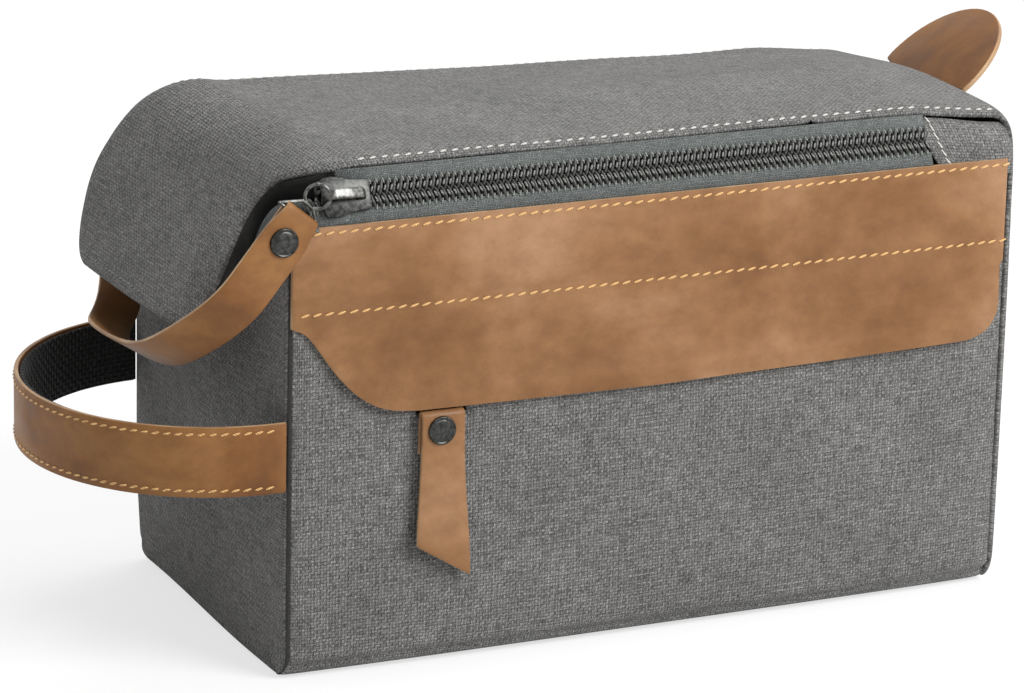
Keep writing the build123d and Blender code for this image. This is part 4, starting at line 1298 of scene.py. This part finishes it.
# %% Pocket pull
pivot = Vector((-81.6, -73.4, 87.85)) * mm
pull_width, pull_drop, pull_bend = 15.5 * mm, 56 * mm, 1.3 * mm
pull_path = [pivot + Vector((0, pull_bend, -z)) for z in (13 * mm, 8 * mm, 4 * mm)]
for turn in steps(0, math.pi, 0.4):
    pull_path.append(pivot + Vector((0, math.cos(turn), math.sin(turn))) * pull_bend)
for z in steps(3 * mm, pull_drop, 4 * mm):
    pull_path.append(pivot + Vector((0, -pull_bend - 0.6 * mm * ease(z, 10 * mm, 50 * mm), -z)))
small = ribbon(pull_path, Vector((1, 0, 0)), pull_width, 4)
for vert in small.verts:
    fall = pivot.z - vert.co.z
    share = (vert.co.x - pivot.x) / pull_width
    slant = ease(fall, 20 * mm, pull_drop)
    if vert.co.y < pivot.y:
        width = pull_width + 4 * mm * ease(fall, 5 * mm, pull_drop)
        vert.co.x = pivot.x + share * width + 0.6 * mm * slant
        vert.co.z += (0.5 - share) * 12 * mm * slant
pull_nodes = ("pocket_pull",)
small_leaf = piece(small, "small_pull_leaf", "small_pull", leather, "leather_tan", pull_nodes)
thicken(small_leaf, 1.4 * mm, 0.0, raw_edge)
round_edges(small_leaf, 0.4 * mm)
rivet_place = pivot + Vector((-0.8, -2.0, -4.4)) * mm
rivet("small_rivet", rivet_place, (0, -1, 0), "small_pull", "pocket_rivet")


# %% Pocket zip
def pocket_place(x, v, out=0.0):
    return Vector((x, -65.8 * mm - out, 104 * mm + v))


pocket_first, pocket_last, pocket_pitch = -99 * mm, 99 * mm, 2.6 * mm
for level, words, hand in (("low", "lower", -1), ("high", "upper", 1)):
    first = pocket_first if hand < 0 else pocket_first + pocket_pitch * 6.5
    line = (first, pocket_last, pocket_pitch, pocket_place)
    turns = coil_row(*line, hand * 3.4 * mm, -hand * 0.8 * mm, 1.8 * mm, 0.2)
    name, node_name = f"pocket_coil_{level}", f"pocket_{words}_coil"
    piece(turns, name, "bag", coil_nylon, "coil_dark", (node_name,))
tapes = bmesh.new()
for way in (-1, 1):
    path = [pocket_place(x, way * 6.4 * mm) for x in steps(-104 * mm, 104 * mm, 26 * mm)]
    join(tapes, ribbon(path, upright, 6 * mm))
zip_tapes = piece(tapes, "pocket_zip_tape", "bag", tape, "tape_grey", ("pocket_tape",))
thicken(zip_tapes, 0.7 * mm, 0.0)
back_path = [Vector((x, -60.3 * mm, 69.5 * mm)) for x in steps(-112 * mm, 112 * mm, 28 * mm)]
behind = ribbon(back_path, upright, 84 * mm, 4)
pocket_back = piece(behind, "pocket_back", "bag", lining, "lining_dark", ("pocket_backing",))
thicken(pocket_back, 0.6 * mm, 0.0)
print("pocket zip in")

# %% [markdown]
# ## Linings
# A thin dark lining follows the walls inside, and a second one lies under the lid and the flap.

# %% Linings
lining_sheet = 0.6 * mm
inside = box((0, 3.5 * mm, 57 * mm), (264 * mm, 126.4 * mm, 109.6 * mm))
bevel_where(inside, lambda p: p.z < 3 * mm and p.y < 0, 13 * mm, 4)
bevel_where(inside, lambda p: p.z < 3 * mm and p.y > 60 * mm, 13 * mm, 4)
drop_faces(inside, lambda p: p.z > 110 * mm)
cut(inside, 0, [-112 * mm, -125 * mm])
cut(inside, 2, [22 * mm, 45 * mm])
for vert in inside.verts:
    vert.co += corner_lift(vert.co)
inside_lining = piece(inside, "inside_lining", "bag", lining, "lining_dark", ("body_lining",))
thicken(inside_lining, lining_sheet)
rows = []
for x in steps(-105 * mm, 101 * mm, 15 * mm):
    rows.append([lid_point(x, y * mm, 172.4 * mm) for y in (-49, -33, -16, 0, 16, 33, 49)])
under = turn_outward(loft(rows), Vector((0, 0, -1)))
under_lid = piece(under, "under_lid", "lid", lining, "lining_dark", ("lid_lining",))
thicken(under_lid, lining_sheet, 0.0)
inner_radius, curl_path = curl_radius - 5.4 * mm, []
for turn in steps(0, curl_turn, 0.12):
    curl_path.append(curl_centre + Vector((-math.sin(turn), 0, math.cos(turn))) * inner_radius)
last_place = curl_path[-1]
curl_path += [last_place + lean * fall for fall in steps(0, 49 * mm, 8 * mm)[1:]]
flap_back = ribbon(curl_path, Vector((0, 1, 0)), 72 * mm, 4)
flap_nodes = ("end_flap_lining",)
flap_lining = piece(flap_back, "flap_lining", "end_flap", lining, "lining_dark", flap_nodes)
thicken(flap_lining, lining_sheet, 0.0)
print("linings in")

# %% [markdown]
# ## Metal that keeps its solid
# The pocket's slider and its wire are already the right shape, so they stay and take the nickel.

# %% Finishes on kept solids
for name in ("pocket_slider_body", "pocket_link"):
    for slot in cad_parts[name].material_slots:
        slot.material = metal
print("kept solids take", metal.name)

# %% [markdown]
# ## Studio
# The bag stands on a white sweep under broad soft lamps, the main one high on the right, so the
# lid is pale, the front is even and the left end falls into shade. The floor looks white to the
# camera through a light path, and it still takes the bag's shadow.

# %% Floor
floor_mesh = bmesh.new()
bmesh.ops.create_grid(floor_mesh, x_segments=1, y_segments=1, size=4)
floor_data = bpy.data.meshes.new("floor")
floor_mesh.to_mesh(floor_data)
floor_mesh.free()
floor = bpy.data.objects.new("floor", floor_data)
bpy.context.scene.collection.objects.link(floor)
floor.location.z = -0.2 * mm
floor_finish, tree, shader = start_finish("white_sweep", Roughness=0.9, Specular_IOR_Level=0.0)
put(tree, shader, "Base Color", (*grey(0.86), 1))
bright = {"Base Color": (*grey(0.34), 1), "Roughness": 0.9, "Specular IOR Level": 0.0}
bright.update({"Emission Color": (*grey(1), 1), "Emission Strength": 0.68})
seen_floor = node(tree, "ShaderNodeBsdfPrincipled", bright).outputs["BSDF"]
seen = node(tree, "ShaderNodeLightPath").outputs["Is Camera Ray"]
choice = node(tree, "ShaderNodeMixShader", {0: seen, 1: shader.outputs["BSDF"], 2: seen_floor})
put(tree, tree.nodes["Material Output"], "Surface", choice.outputs["Shader"])
floor_data.materials.append(floor_finish)
print("floor at", floor.location.z)

# %% World and lamps
world = bpy.data.worlds.new("studio")
bpy.context.scene.world = world
world.use_nodes = True
tree = world.node_tree
rays = node(tree, "ShaderNodeLightPath").outputs
seen = rays["Is Camera Ray"]
for kind in ("Is Glossy Ray", "Is Transmission Ray"):
    seen = node(tree, "ShaderNodeMath", {0: seen, 1: rays[kind]}, operation="MAXIMUM").outputs[0]
strength = node(tree, "ShaderNodeMapRange", {"Value": seen, "To Min": 0.4, "To Max": 1.0})
put(tree, tree.nodes["Background"], "Strength", strength.outputs["Result"])
put(tree, tree.nodes["Background"], "Color", (1, 1, 1, 1))


def lamp(name, place, aim, size, power):
    data = bpy.data.lights.new(name, "AREA")
    data.shape, data.size, data.energy = "DISK", size, power
    made = bpy.data.objects.new(name, data)
    made.location = place
    made.rotation_euler = (Vector(aim) - Vector(place)).to_track_quat("-Z", "Y").to_euler()
    bpy.context.scene.collection.objects.link(made)


lamp("key", (0.65, -1.1, 1.0), (0, 0, 0.08), 0.9, 25)
lamp("overhead", (0.35, 0.3, 1.45), (0, 0, 0.1), 1.0, 11)
lamp("rim", (-1.1, 0.9, 0.8), (0, 0, 0.1), 0.6, 2)
bpy.context.scene.view_settings.view_transform = "Standard"
print("lamps:", [light.name for light in bpy.data.lights])
